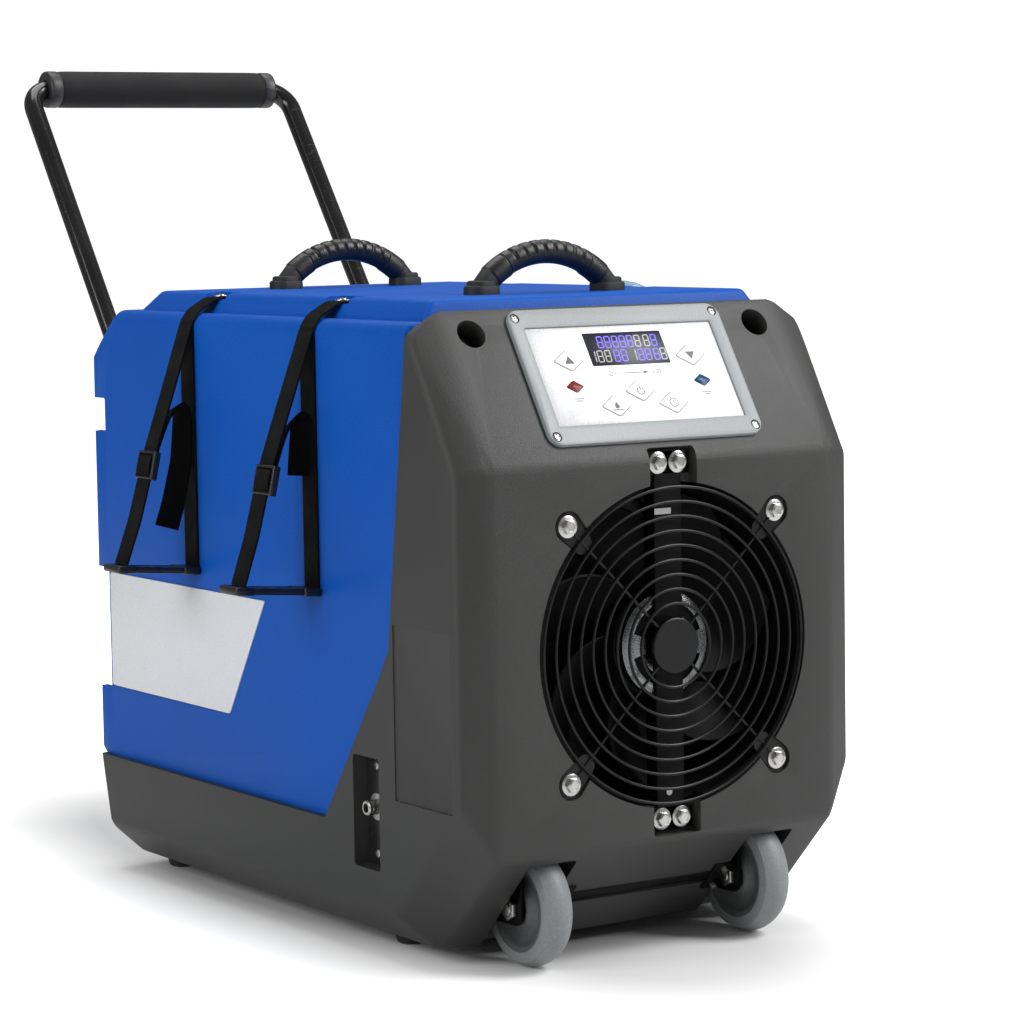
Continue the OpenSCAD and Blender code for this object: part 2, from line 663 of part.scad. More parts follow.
module rear_screws() color([0.72, 0.73, 0.72]) both_sides() {
  for (sz = [-1, 1]) translate([handle_w / 2, rear_wall_y + bracket_t, pivot_z + sz * bracket_screw_dz]) {
    along_y(0, 0, -e, 3.5, 5.5);
    along_y(0, 0, -bracket_t - 10, 0, 3);
  }
  translate([rear_bolt[0], rear_wall_y, rear_bolt[1]]) {
    intersection() {
      along_y(0, 0, 0, 5, 6.5);
      translate([0, -3, 0]) sphere(r = 8);
    }
    along_y(0, 0, -10, e, 3);
  }
}

// --- carry handles: an arch of ribbed rubber over two boots
arch_r = (carry_span * carry_span / 4 + carry_rise * carry_rise) / (2 * carry_rise);
arch_mid = plateau_z + carry_rise - arch_r - carry_tube / 2 + 4;
boot_h = 12;
module arch(y, d) intersection() {
  translate([0, y, arch_mid]) rotate([90, 0, 0]) rotate_extrude($fn = 128)
    translate([arch_r, 0]) circle(d = d);
  block([-carry_span, y - 30, plateau_z + boot_h], [carry_span, y + 30, plateau_z + 100]);
}
boot_x = sqrt(pow(arch_r, 2) - pow(plateau_z + boot_h / 2 - arch_mid, 2));
module carry_grips() color([0.06, 0.06, 0.06]) for (y = carry_y) arch(y, carry_tube);
module carry_boots() color([0.07, 0.07, 0.07]) both_sides() for (y = carry_y)
  translate([boot_x, y, plateau_z]) linear_extrude(boot_h) round_rect(36, 28, 10);

// --- straps: webbing drawn as its line in x and z, then made strap_w wide
function turn(a) = [-a[1], a[0]];
function unit(a) = a / norm(a);
// Sideways step at point i that keeps the ribbon t thick through a corner
function corner_step(p, i, t) =
  let (n1 = turn(unit(p[max(i, 1)] - p[max(i, 1) - 1])),
    n2 = turn(unit(p[min(i, len(p) - 2) + 1] - p[min(i, len(p) - 2)])))
  (n1 + n2) * t / (2 * (1 + n1 * n2));
module ribbon(p, t) polygon(concat([for (i = [0 : len(p) - 1]) p[i] + corner_step(p, i, t)],
  [for (i = [len(p) - 1 : -1 : 0]) p[i] - corner_step(p, i, t)]));
off = strap_t / 2 + 0.2;
bar_end = [half_w - 7 + bar_reach, bar_z + bar_rise];
shoulder_over = [[anchor_x - 8, anchor_z + off], [blue_half - 24, anchor_z + off],
  [blue_half - 6.4, shoulder_z + off + 0.6], [blue_half + off, shoulder_z - 7]];
held_run = concat(shoulder_over, [[blue_half + off, bar_z + 1]]);
left_run = [[blue_half + off, shoulder_z - 12], [half_w + 34, 412], [half_w + 40, 385],
  [bar_end[0] - 8, bar_z + bar_rise]];
right_run = [[blue_half + off, shoulder_z - 12], [half_w + 31, shoulder_z - 12], [half_w + 34, 412],
  [half_w + 40, 385], [bar_end[0] - 8, bar_z + bar_rise]];
module straps(run) color([0.09, 0.09, 0.09]) difference() {
  for (y = strap_y) translate([0, y + strap_w / 2, 0]) rotate([90, 0, 0]) linear_extrude(strap_w) {
    ribbon(held_run, strap_t);
    ribbon(run, strap_t);
  }
  at_strap_screws() translate([0, 0, -10]) cylinder(d = 4, h = 30);
}
buckle_at = [half_w + 37, 398.5];
module strap_buckles() color([0.12, 0.12, 0.12]) both_sides() for (y = strap_y)
  translate([buckle_at[0], y, buckle_at[1]]) rotate([0, -12.5, 0]) difference() {
    cube([7, strap_w + 8, 26], center = true);
    cube([strap_t + 1, strap_w + 2, 40], center = true);
    translate([3, 0, 7]) cube([4, strap_w + 2, 8], center = true);
    translate([3, 0, -7]) cube([4, strap_w + 2, 8], center = true);
  }
bar_a = atan2(bar_rise, bar_reach);
module strap_bars() color([0.10, 0.10, 0.10]) both_sides() for (y = strap_y)
  translate([blue_half, y, bar_z]) {
    difference() {
      rotate([0, -bar_a, 0]) translate([0, -strap_w / 2 - 4, -bar_t]) cube([bar_reach + 4, strap_w + 8, bar_t]);
      translate([-5, -20, -30]) cube([5, 40, 60]);
      translate([0, -strap_w / 2 - 1, -30]) cube([strap_t + 1.5, strap_w + 2, 60]);
      translate([bar_reach - 12, -strap_w / 2 - 1, -30]) cube([11, strap_w + 2, 60]);
    }
  }

// --- drain pocket pieces
module port_plate() color([0.05, 0.05, 0.05]) difference() {
  block([plate_x, pocket_y[0] + 1, pocket_z[0] + 1],
    [plate_x + plate_t, pocket_y[1] - 1, pocket_z[1] - 1]);
  port_screw_holes();
  along_x(port_at[0], port_at[1], -half_w, -half_w + 60, port_r + 2);
}
module drain_port() color([0.75, 0.76, 0.76]) difference() {
  union() {
    along_x(port_at[0], port_at[1], plate_x - port_len, -half_w + pocket_deep + 20, port_r);
    along_x(port_at[0], port_at[1], plate_x - 2, plate_x, port_r + 5);
    along_x(port_at[0], port_at[1], -half_w + pocket_deep + wall, -half_w + pocket_deep + wall + 5, port_r + 4);
  }
  along_x(port_at[0], port_at[1], -half_w - 10, -half_w + 60, port_r - 2.5);
}

// --- inside: floor level and refrigeration parts
floor_z = ground_gap + wall;
comp_at = [60, 360];
comp_r = 55;
comp_h = 130;
comp_top = floor_z + 18 + comp_h + comp_r * 0.566;
module compressor() color([0.06, 0.06, 0.07]) translate([comp_at[0], comp_at[1], 0]) {
  translate([0, 0, floor_z + 14]) linear_extrude(4) round_rect(150, 110, 12);
  translate([0, 0, floor_z + 18 - e]) cylinder(r = comp_r, h = comp_h);
  translate([0, 0, floor_z + 18 + comp_h - 2 * e]) intersection() {
    translate([0, 0, -comp_r * 0.6]) sphere(r = comp_r * 1.166);
    cylinder(r = comp_r, h = 60);
  }
}
module compressor_grommets() color([0.10, 0.10, 0.10]) for (sx = [-1, 1], sy = [-1, 1])
  translate([comp_at[0] + sx * 62, comp_at[1] + sy * 42, floor_z]) cylinder(d = 22, h = 14);

coil_half = 140;
coil_z = [112, 500];
evap_y = [body_d - 90, body_d - 50];
cond_y = [body_d - 150, body_d - 110];
fins = 15;
fin_t = 3;
fin_pitch = (2 * coil_half - 12 - fin_t) / (fins - 1);
module finned_block(y, tubes) {
  for (i = [0 : fins - 1]) translate([-coil_half + 6 + i * fin_pitch, 0, 0])
    block([0, y[0], coil_z[0]], [fin_t, y[1], coil_z[1]]);
  for (i = [0 : tubes - 1], yy = [y[0] + 10, y[1] - 10])
    along_x(yy, coil_z[0] + 20 + i * (coil_z[1] - coil_z[0] - 40) / (tubes - 1), -coil_half, coil_half, 5);
}
module evaporator() color([0.75, 0.77, 0.78]) finned_block(evap_y, 10);
module condenser() color([0.70, 0.60, 0.45]) finned_block(cond_y, 10);
tray_z = [floor_z, coil_z[0]];
module drip_tray() color([0.15, 0.15, 0.16]) difference() {
  block([-coil_half - 8, cond_y[0] - 6, tray_z[0]], [coil_half + 8, evap_y[1] + 6, tray_z[1] + 12]);
  block([-coil_half - 4, cond_y[0] - 2, tray_z[1]], [coil_half + 4, evap_y[1] + 2, tray_z[1] + 20]);
  block([-coil_half + 10, cond_y[0] + 8, tray_z[1] - 25], [coil_half - 10, cond_y[1] + 8, tray_z[1] + 1]);
  block([-coil_half, cond_y[0] - 20, tray_z[0] - 1], [coil_half, evap_y[1] + 20, tray_z[1] - 32]);
}

tank_low = [-165, 215, floor_z];
tank_high = [-75, 335, floor_z + 70];
float_at = [-110, 295];
module sump_tank() color([0.80, 0.83, 0.86]) difference() {
  block(tank_low, tank_high);
  difference() {
    block(tank_low + [3, 3, 3], tank_high + [-3, -3, 5]);
    translate([float_at[0], float_at[1], floor_z]) cylinder(d = 5, h = 74);
  }
}
pump_at = [-140, 245];
module condensate_pump() color([0.12, 0.12, 0.14]) {
  translate([pump_at[0], pump_at[1], floor_z + 3]) cylinder(r = 20, h = 52);
  translate([pump_at[0], pump_at[1], floor_z + 55 - e]) cylinder(r = 7, h = 30);
}
pump_top = floor_z + 85 - e;
module float_ball() color([0.90, 0.45, 0.10]) translate([float_at[0], float_at[1], floor_z + 3.3])
  difference() { cylinder(r = 15, h = 22); translate([0, 0, -1]) cylinder(d = 5.2, h = 30); }
// Inner pipes are 10 mm, with fatter elbows
pipe_r = 5;
elbow_r = 5.8;
module pump_hose() color([0.80, 0.86, 0.90]) {
  translate([pump_at[0], pump_at[1], pump_top]) cylinder(r = pipe_r, h = port_at[1] - pump_top);
  translate([pump_at[0], pump_at[1], port_at[1]]) sphere(r = elbow_r);
  along_y(pump_at[0], port_at[1], port_at[0], pump_at[1], pipe_r);
  translate([pump_at[0], port_at[0], port_at[1]]) sphere(r = elbow_r);
  along_x(port_at[0], port_at[1], -half_w + pocket_deep + 20, pump_at[0], pipe_r);
}
drier_at = [-60, 430];
module filter_drier() translate([drier_at[0], drier_at[1], floor_z]) {
  cylinder(r = pipe_r, h = 60 + e);
  translate([0, 0, 60]) cylinder(r = 14, h = 110);
  translate([0, 0, 170 - e]) cylinder(r = pipe_r, h = 60);
}
module refrigerant_pipes() color([0.72, 0.42, 0.22]) {
  z = floor_z + 230;
  translate([comp_at[0], comp_at[1], comp_top]) cylinder(r = pipe_r, h = 45);
  translate([comp_at[0], comp_at[1], comp_top + 45]) sphere(r = elbow_r);
  along_y(comp_at[0], comp_top + 45, comp_at[1], cond_y[0], pipe_r);
  translate([drier_at[0], drier_at[1], z]) sphere(r = elbow_r);
  along_y(drier_at[0], z, drier_at[1], cond_y[0], pipe_r);
  filter_drier();
}

// --- rear filter cassette and cable gland
module filter_frame() color([0.16, 0.16, 0.17]) difference() {
  union() {
    difference() {
      block([-filter_half, rear_wall_y - 14, filter_z[0]], [filter_half, rear_wall_y + 6, filter_z[1]]);
      block([-filter_half + 10, rear_wall_y - 20, filter_z[0] + 10],
        [filter_half - 10, rear_wall_y + 20, filter_z[1] - 10]);
    }
    for (z = [filter_z[0] + 30 : 24 : filter_z[1] - 20])
      block([-filter_half + 9, rear_wall_y - 2, z], [filter_half - 9, rear_wall_y + 5, z + 5]);
  }
  // finger scoops that open to the sides of the frame
  for (s = [-1, 1]) along_x(rear_wall_y + 6, (filter_z[0] + filter_z[1]) / 2,
    s * (filter_half - 5) - 4, s * (filter_half - 5) + 4, 3);
}
module filter_mesh() color([0.75, 0.78, 0.80])
  block([-filter_half + 10, rear_wall_y - 13, filter_z[0] + 10],
    [filter_half - 10, rear_wall_y - 3, filter_z[1] - 10]);
module cable_gland() color([0.06, 0.06, 0.06]) difference() {
  union() {
    along_y(gland_at[0], gland_at[1], rear_wall_y - wall - 8, rear_wall_y + 14, gland_r);
    translate([gland_at[0], rear_wall_y, gland_at[1]]) rotate([-90, 0, 0]) cylinder(d = 26, h = 6, $fn = 6);
  }
  along_y(gland_at[0], gland_at[1], rear_wall_y - 30, rear_wall_y + 30, 4.5);
}

// --- stowed drain hose: the coil's outer shape, and its quick coupler
coil_wide = 5 * hose_d;
coil_thick = 2 * hose_d;
coil_in = coil_r - coil_wide / 2;
coupler_l = 60;
coupler_r = 12;
coil_mid = [blue_half + coupler_r + hose_d / 2 + 1, (strap_y[0] + strap_y[1]) / 2,
  bar_z + bar_rise / 2 + 1 + sqrt(pow(coil_r + coil_wide / 2, 2)
    - pow((strap_y[1] - strap_y[0] - strap_w) / 2 - 4, 2))];
module hose_coil() color([0.72, 0.82, 0.90]) translate(coil_mid) rotate([0, 90, 0]) rotate_extrude($fn = 96)
  translate([coil_r, 0]) round_rect(coil_wide, coil_thick, hose_d / 2);

// The coupler lies in the bottom of the coil's eye, and the lead bends up into the inner turn
lead_mid = [-25, 3];
lead_r = coil_in + hose_d / 2 - norm(lead_mid);
lead_x = coil_mid[0] - hose_d / 2;
module at_lead_end() translate([lead_x, coil_mid[1] + lead_mid[0], coil_mid[2] + lead_mid[1] - lead_r])
  children();
module hose_lead() color([0.72, 0.82, 0.90]) difference() {
  translate([lead_x, coil_mid[1] + lead_mid[0], coil_mid[2] + lead_mid[1]]) rotate([0, 90, 0])
    rotate([0, 0, -90]) rotate_extrude(angle = 90) translate([lead_r, 0]) circle(d = hose_d);
  hose_coil();
}
module hose_coupler() color([0.20, 0.20, 0.21]) at_lead_end() rotate([-90, 0, 0]) {
  cylinder(r = coupler_r * 0.85, h = 12, $fn = 6);
  translate([0, 0, 12 - e]) cylinder(r = coupler_r * 0.8, h = 20);
  translate([0, 0, 32 - 2 * e]) cylinder(r = coupler_r, h = coupler_l - 32);
}

placed() front_shell();
placed() rear_shell();
placed() label_plates();
placed() control_bezel();
placed() control_panel();
placed() display_window();
placed() status_lenses();
placed() pan_screws();
placed() deep_screws();
placed() key(0);  // key_up
placed() key(1);  // key_down
placed() key(2);  // key_power
placed() key(3);  // key_purge
placed() key(4);  // key_timer
placed() control_board();
placed() fan_guard();
placed() flange_bolts();
placed() fan_strut();
placed() fan_shroud();
placed() motor_stator();
placed() fan_impeller();
placed() tyre(-1);  // tyre_left
placed() tyre(1);  // tyre_right
placed() hub(-1);  // hub_left
placed() hub(1);  // hub_right
placed() bearing(-1);  // bearing_left
placed() bearing(1);  // bearing_right
placed() wheel_forks();
placed() axle_bolts();
placed() axle_nuts();
placed() rubber_feet();
placed() handle_tube();
placed() handle_grip();
placed() handle_brackets();
placed() pivot_pins();
placed() rear_screws();
placed() carry_grips();
placed() carry_boots();
placed() mirror([1, 0, 0]) straps(left_run);  // straps_left
placed() straps(right_run);  // straps_right
placed() strap_buckles();
placed() strap_bars();
placed() port_plate();
placed() drain_port();
placed() cable_gland();
placed() compressor();
placed() compressor_grommets();
placed() evaporator();
placed() condenser();
placed() refrigerant_pipes();
placed() drip_tray();
placed() sump_tank();
placed() condensate_pump();
placed() pump_hose();
placed() float_ball();
placed() filter_frame();
placed() filter_mesh();
placed() hose_coil();
placed() hose_lead();
placed() hose_coupler();
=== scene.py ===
"""Looks for a wheeled, rotomoulded dehumidifier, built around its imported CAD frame."""

import math

import bmesh
import bpy
from mathutils import Matrix, Vector


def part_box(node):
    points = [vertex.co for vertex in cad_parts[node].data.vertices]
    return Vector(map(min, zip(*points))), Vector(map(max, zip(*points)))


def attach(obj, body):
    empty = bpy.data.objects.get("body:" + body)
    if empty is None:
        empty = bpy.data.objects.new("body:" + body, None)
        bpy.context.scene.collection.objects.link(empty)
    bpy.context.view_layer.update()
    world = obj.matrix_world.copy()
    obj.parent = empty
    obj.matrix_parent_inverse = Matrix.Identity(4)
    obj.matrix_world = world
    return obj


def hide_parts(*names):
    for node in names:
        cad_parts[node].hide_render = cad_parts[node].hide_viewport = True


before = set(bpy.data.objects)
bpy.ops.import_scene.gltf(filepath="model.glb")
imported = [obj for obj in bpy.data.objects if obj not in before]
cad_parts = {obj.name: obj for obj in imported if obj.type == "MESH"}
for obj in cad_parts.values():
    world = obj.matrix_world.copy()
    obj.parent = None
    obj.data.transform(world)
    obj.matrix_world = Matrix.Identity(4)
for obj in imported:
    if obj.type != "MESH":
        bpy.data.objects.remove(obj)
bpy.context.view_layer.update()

# --- Studio -----------------------------------------------------------------------------
# A pale seamless floor, four soft panels of light and a long lens a little above the
# case. The front face of the grey shell is y = 0 for every piece that is drawn below, and
# pieces are drawn in millimetres.
FACE_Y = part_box("front_shell")[0].y
MM = 0.001


def spot(x, y, z):
    """A place in millimetres from the front face, as a point of the row frame in metres."""
    return Vector((x * MM, FACE_Y + y * MM, z * MM))


scene = bpy.context.scene


def camera_frame(yaw, pitch, roll):
    """The camera's axes, from three angles in radians; level along +Y is all zeros."""
    ahead = Vector((math.sin(-yaw) * math.cos(pitch), math.cos(yaw) * math.cos(pitch), math.sin(pitch)))
    across = ahead.cross(Vector((0, 0, 1))).normalized()
    up = across.cross(ahead)
    side = across * math.cos(roll) + up * math.sin(roll)
    top = up * math.cos(roll) - across * math.sin(roll)
    return Matrix((side, top, -ahead)).transposed().to_4x4()


lens = bpy.data.cameras.new("camera")
lens.sensor_width = 36.0
lens.lens = 118.67
lens.shift_x = 0.0003
lens.shift_y = -0.0108
lens.clip_end = 60.0
CAMERA_AT = spot(-1619.9, -2228.9, 636.5)
CAMERA_TURN = (-0.581, -0.09, -0.016)
camera = bpy.data.objects.new("camera", lens)
camera.matrix_world = Matrix.Translation(CAMERA_AT) @ camera_frame(*CAMERA_TURN)
scene.collection.objects.link(camera)
scene.camera = camera

floor_bm = bmesh.new()
bmesh.ops.create_grid(floor_bm, x_segments=1, y_segments=1, size=14.0)
floor_mesh = bpy.data.meshes.new("floor")
floor_bm.to_mesh(floor_mesh)
floor_bm.free()
floor = bpy.data.objects.new("floor", floor_mesh)
scene.collection.objects.link(floor)
floor_paint = bpy.data.materials.new("floor_paint")
floor_paint.use_nodes = True
floor_tree = floor_paint.node_tree
floor_shader = floor_tree.nodes["Principled BSDF"]
floor_shader.inputs["Base Color"].default_value = (0.88, 0.88, 0.88, 1)
floor_shader.inputs["Roughness"].default_value = 0.5
floor_shader.inputs["Specular IOR Level"].default_value = 0.25
floor_shader.inputs["Emission Color"].default_value = (1, 1, 1, 1)
def put(tree, kind, settings=None, **inputs):
    """One shader node. An input given as a socket is linked, any other is set."""
    made = tree.nodes.new(kind)
    for key, value in (settings or {}).items():
        setattr(made, key, value)
    for key, value in inputs.items():
        socket = made.inputs[int(key[1:])] if key[1:].isdigit() else made.inputs[key.replace("_", " ")]
        if isinstance(value, bpy.types.NodeSocket):
            tree.links.new(value, socket)
        else:
            socket.default_value = value
    return made


# The floor turns into plain white away from the case, so that no horizon shows
FLOOR_SCALE, WHITE_FROM, WHITE_AT = (5.0, 1.6, 1.0), 0.85, 1.7
floor_at = put(floor_tree, "ShaderNodeTexCoord").outputs["Object"]
floor_place = put(floor_tree, "ShaderNodeMapping", None, Vector=floor_at, Scale=FLOOR_SCALE)
floor_far = put(floor_tree, "ShaderNodeVectorMath", {"operation": "LENGTH"}, _0=floor_place.outputs[0])
floor_fade = put(floor_tree, "ShaderNodeMapRange", None, _0=floor_far.outputs["Value"], _1=WHITE_FROM,
                 _2=WHITE_AT)
floor_seen = put(floor_tree, "ShaderNodeLightPath").outputs["Is Camera Ray"]
floor_glow = put(floor_tree, "ShaderNodeMath", {"operation": "MULTIPLY"}, _0=floor_fade.outputs[0],
                 _1=floor_seen)
floor_tree.links.new(floor_glow.outputs[0], floor_shader.inputs["Emission Strength"])
# From below the floor is clear, so that the underside can be looked at
floor_back = put(floor_tree, "ShaderNodeNewGeometry").outputs["Backfacing"]
floor_clear = put(floor_tree, "ShaderNodeBsdfTransparent").outputs[0]
floor_side = put(floor_tree, "ShaderNodeMixShader", None, _0=floor_back, _1=floor_shader.outputs[0],
                 _2=floor_clear)
floor_tree.links.new(floor_side.outputs[0], floor_tree.nodes["Material Output"].inputs["Surface"])
floor_mesh.materials.append(floor_paint)

world = bpy.data.worlds.new("studio")
world.use_nodes = True
world_tree = world.node_tree
world_tree.nodes["Background"].inputs["Color"].default_value = (1.0, 1.0, 1.0, 1)
# Full white where it is seen, dimmer where it lights the case
LIGHTING_LEVEL, SEEN_LEVEL = 0.19, 1.05
world_seen = put(world_tree, "ShaderNodeLightPath").outputs["Is Camera Ray"]
world_level = put(world_tree, "ShaderNodeMapRange", None, _0=world_seen, _3=LIGHTING_LEVEL, _4=SEEN_LEVEL)
world_tree.links.new(world_level.outputs[0], world_tree.nodes["Background"].inputs["Strength"])
scene.world = world
scene.view_settings.view_transform = "Standard"


def soft_panel(name, place, aim, size, power):
    """A square studio light at `place` that faces `aim`, both in metres."""
    light = bpy.data.lights.new(name, "AREA")
    light.shape, light.size, light.energy = "SQUARE", size, power
    holder = bpy.data.objects.new(name, light)
    way = Vector(aim) - Vector(place)
    holder.matrix_world = Matrix.Translation(place) @ way.to_track_quat("-Z", "Y").to_matrix().to_4x4()
    scene.collection.objects.link(holder)


soft_panel("panel_left", (-3.4, -0.4, 1.7), (0, 0, 0.3), 2.2, 58)
soft_panel("panel_front", (2.0, -2.5, 1.75), (0, -0.4, 0.4), 0.8, 26)
soft_panel("panel_right", (2.3, -2.0, 3.2), (0, -0.3, 0.4), 1.5, 118)
soft_panel("panel_top", (0.3, 0.9, 3.4), (0, 0, 0.3), 2.4, 60)

# --- Drain hose -------------------------------------------------------------------------
# About six metres of clear 13 mm tube, wound flat in two layers of four turns. It stands
# on the two bars of the right side, between the straps and the case, and its quick
# coupler rests in the bottom of the coil's eye.
HOSE_D, HOSE_LENGTH = 13.0, 5.95
coil_low, coil_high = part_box("hose_coil")
COIL_X, COIL_Y, COIL_Z = (coil_low + coil_high) / 2 / MM - Vector((0, FACE_Y / MM, 0))
COIL_IN, COIL_OUT, COIL_TURNS = 82.0, 134.0, 4.0
# The coupler's end curves round its own centre into the first turn
LEAD_Y, LEAD_Z, LEAD_R = -25.0, 3.0, 56.8
LEAD_STEPS, TURN_STEPS = 12, 48


def hose_route():
    """The hose's line in millimetres, from its bare end to its coupler."""
    line = []
    near, far = COIL_X - HOSE_D / 2, COIL_X + HOSE_D / 2
    joins, starts = math.atan2(LEAD_Z, LEAD_Y), math.radians(270)

    def add(x, y, z, radius, angle):
        line.append((x, y + radius * math.cos(angle), z + radius * math.sin(angle)))

    for i in range(LEAD_STEPS):
        add(near, COIL_Y + LEAD_Y, COIL_Z + LEAD_Z, LEAD_R, starts - (starts - joins) * i / LEAD_STEPS)
    for i in range(int((2 * COIL_TURNS + 0.5) * TURN_STEPS) + 1):
        turns = i / TURN_STEPS
        crossing = min(max((turns - COIL_TURNS) / 0.5, 0), 1)
        inward = max(turns - COIL_TURNS - 0.5, 0)
        radius = min(COIL_IN + HOSE_D * turns, COIL_OUT) - HOSE_D * inward
        add(near + (far - near) * crossing, COIL_Y, COIL_Z, radius, joins - math.tau * turns)
    line.reverse()
    return line


hose_line = hose_route()
hose_curve = bpy.data.curves.new("drain_hose", "CURVE")
hose_curve.dimensions = "3D"
hose_spline = hose_curve.splines.new("POLY")
hose_spline.points.add(len(hose_line) - 1)
for point, place in zip(hose_spline.points, hose_line):
    point.co = (*spot(*place), 1.0)
hose_curve.bevel_depth = HOSE_D / 2 * MM
hose_curve.bevel_resolution = 5
hose_curve.use_fill_caps = True
drain_hose = bpy.data.objects.new("drain_hose", hose_curve)
scene.collection.objects.link(drain_hose)


def blank_group(name, ins, outs):
    """An empty node group with (name, kind, value) inputs and (name, kind) outputs."""
    group = bpy.data.node_groups.new(name, "ShaderNodeTree")
    for label, kind, value in ins:
        socket = group.interface.new_socket(label, in_out="INPUT", socket_type=kind)
        socket.default_value = value
    for label, kind in outs:
        group.interface.new_socket(label, in_out="OUTPUT", socket_type=kind)
    return group, group.nodes.new("NodeGroupInput").outputs, group.nodes.new("NodeGroupOutput").inputs


# Patchy tone, fine grain and faint scuffs, which every moulded, painted or cast finish uses
surface_group, given, gives = blank_group(
    "surface",
    [
        ("Color", "NodeSocketColor", (0.5, 0.5, 0.5, 1)),
        ("Accent", "NodeSocketColor", (0.6, 0.6, 0.6, 1)),
        ("Patch Scale", "NodeSocketFloat", 6.0),
        ("Grain Scale", "NodeSocketFloat", 900.0),
        ("Grain Depth", "NodeSocketFloat", 0.0002),
        ("Smoothest", "NodeSocketFloat", 0.35),
        ("Roughest", "NodeSocketFloat", 0.5),
        ("Scuffs", "NodeSocketFloat", 0.1),
    ],
    [("Color", "NodeSocketColor"), ("Roughness", "NodeSocketFloat"), ("Normal", "NodeSocketVector")],
)
where = surface_group.nodes.new("ShaderNodeTexCoord").outputs["Object"]
patches = put(surface_group, "ShaderNodeTexNoise", None, Vector=where, Scale=given["Patch Scale"], Detail=4.0)
patch_mask = put(surface_group, "ShaderNodeMapRange", None, Value=patches.outputs["Fac"], _1=0.34, _2=0.66)
grains = put(surface_group, "ShaderNodeTexNoise", None, Vector=where, Scale=given["Grain Scale"], Detail=3.0)
streak_space = put(surface_group, "ShaderNodeMapping", None, Vector=where, Rotation=(0.5, 0.3, 0.9),
                   Scale=(14.0, 220.0, 220.0))
streaks = put(surface_group, "ShaderNodeTexNoise", None, Vector=streak_space.outputs[0], Scale=1.0,
              Detail=2.0)
streak_mask = put(surface_group, "ShaderNodeMapRange", None, Value=streaks.outputs["Fac"], _1=0.66, _2=0.74)
scuff = put(surface_group, "ShaderNodeMath", {"operation": "MULTIPLY"}, _0=streak_mask.outputs[0],
            _1=given["Scuffs"])
toned = put(surface_group, "ShaderNodeMix", {"data_type": "RGBA"}, _0=patch_mask.outputs[0],
            _6=given["Color"], _7=given["Accent"])
specks = put(surface_group, "ShaderNodeMapRange", None, Value=grains.outputs["Fac"], _1=0.3, _2=0.7, _3=0.82,
             _4=1.12)
speckled = put(surface_group, "ShaderNodeVectorMath", {"operation": "SCALE"}, _0=toned.outputs[2],
               Scale=specks.outputs[0])
lighter = put(surface_group, "ShaderNodeMix", {"data_type": "RGBA"}, _0=scuff.outputs[0],
              _6=speckled.outputs[0], _7=(0.6, 0.6, 0.6, 1))
surface_group.links.new(lighter.outputs[2], gives["Color"])
rough_mix = put(surface_group, "ShaderNodeMath", {"operation": "ADD"}, _0=patch_mask.outputs[0],
                _1=scuff.outputs[0])
rough = put(surface_group, "ShaderNodeMapRange", None, Value=rough_mix.outputs[0], _3=given["Smoothest"],
            _4=given["Roughest"])
surface_group.links.new(rough.outputs[0], gives["Roughness"])
raised = put(surface_group, "ShaderNodeBump", None, Strength=1.0, Distance=given["Grain Depth"],
             Height=grains.outputs["Fac"])
surface_group.links.new(raised.outputs[0], gives["Normal"])


def finish_of(name, color, accent, patch, grain, depth, rough_range, scuffs=0.05, **shader):
    """A material on the surface group; the other values are set on its shader's sockets."""
    made = bpy.data.materials.new(name)
    made.use_nodes = True
    tree = made.node_tree
    principled = tree.nodes["Principled BSDF"]
    skin = put(tree, "ShaderNodeGroup", {"node_tree": surface_group}, Color=(*color, 1), Accent=(*accent, 1),
               Patch_Scale=patch, Grain_Scale=grain, Grain_Depth=depth, Smoothest=rough_range[0],
               Roughest=rough_range[1], Scuffs=scuffs)
    tree.links.new(skin.outputs["Color"], principled.inputs["Base Color"])
    tree.links.new(skin.outputs["Roughness"], principled.inputs["Roughness"])
    tree.links.new(skin.outputs["Normal"], principled.inputs["Normal"])
    for key, value in shader.items():
        principled.inputs[key.replace("_", " ")].default_value = value
    return made


hose_clear = finish_of("hose_clear", (0.46, 0.72, 0.88), (0.56, 0.80, 0.93), 14, 260, 0.0001, (0.10, 0.2),
                       0.04, Transmission_Weight=0.55, IOR=1.45, Coat_Weight=0.3)
hose_curve.materials.append(hose_clear)


def bend_over(bm, edges, width, steps=3):
    """Rounds the given edges by `width` millimetres."""
    bmesh.ops.bevel(bm, geom=edges, offset=width, offset_type="OFFSET", segments=steps, profile=0.5,
                    affect="EDGES", clamp_overlap=True, material=-1)


def sharp(bm, angle=30.0, pick=lambda e: True):
    """Edges that turn by more than `angle` degrees and that `pick` allows."""
    return [e for e in bm.edges if len(e.link_faces) == 2 and e.calc_face_angle(0) > math.radians(angle)
            and pick(e)]


def toward(place, way):
    """A matrix that puts +Z along `way` at `place`."""
    turn = Vector(way).to_track_quat("Z", "Y" if abs(Vector(way).normalized().y) < 0.9 else "X")
    return Matrix.Translation(place) @ turn.to_matrix().to_4x4()


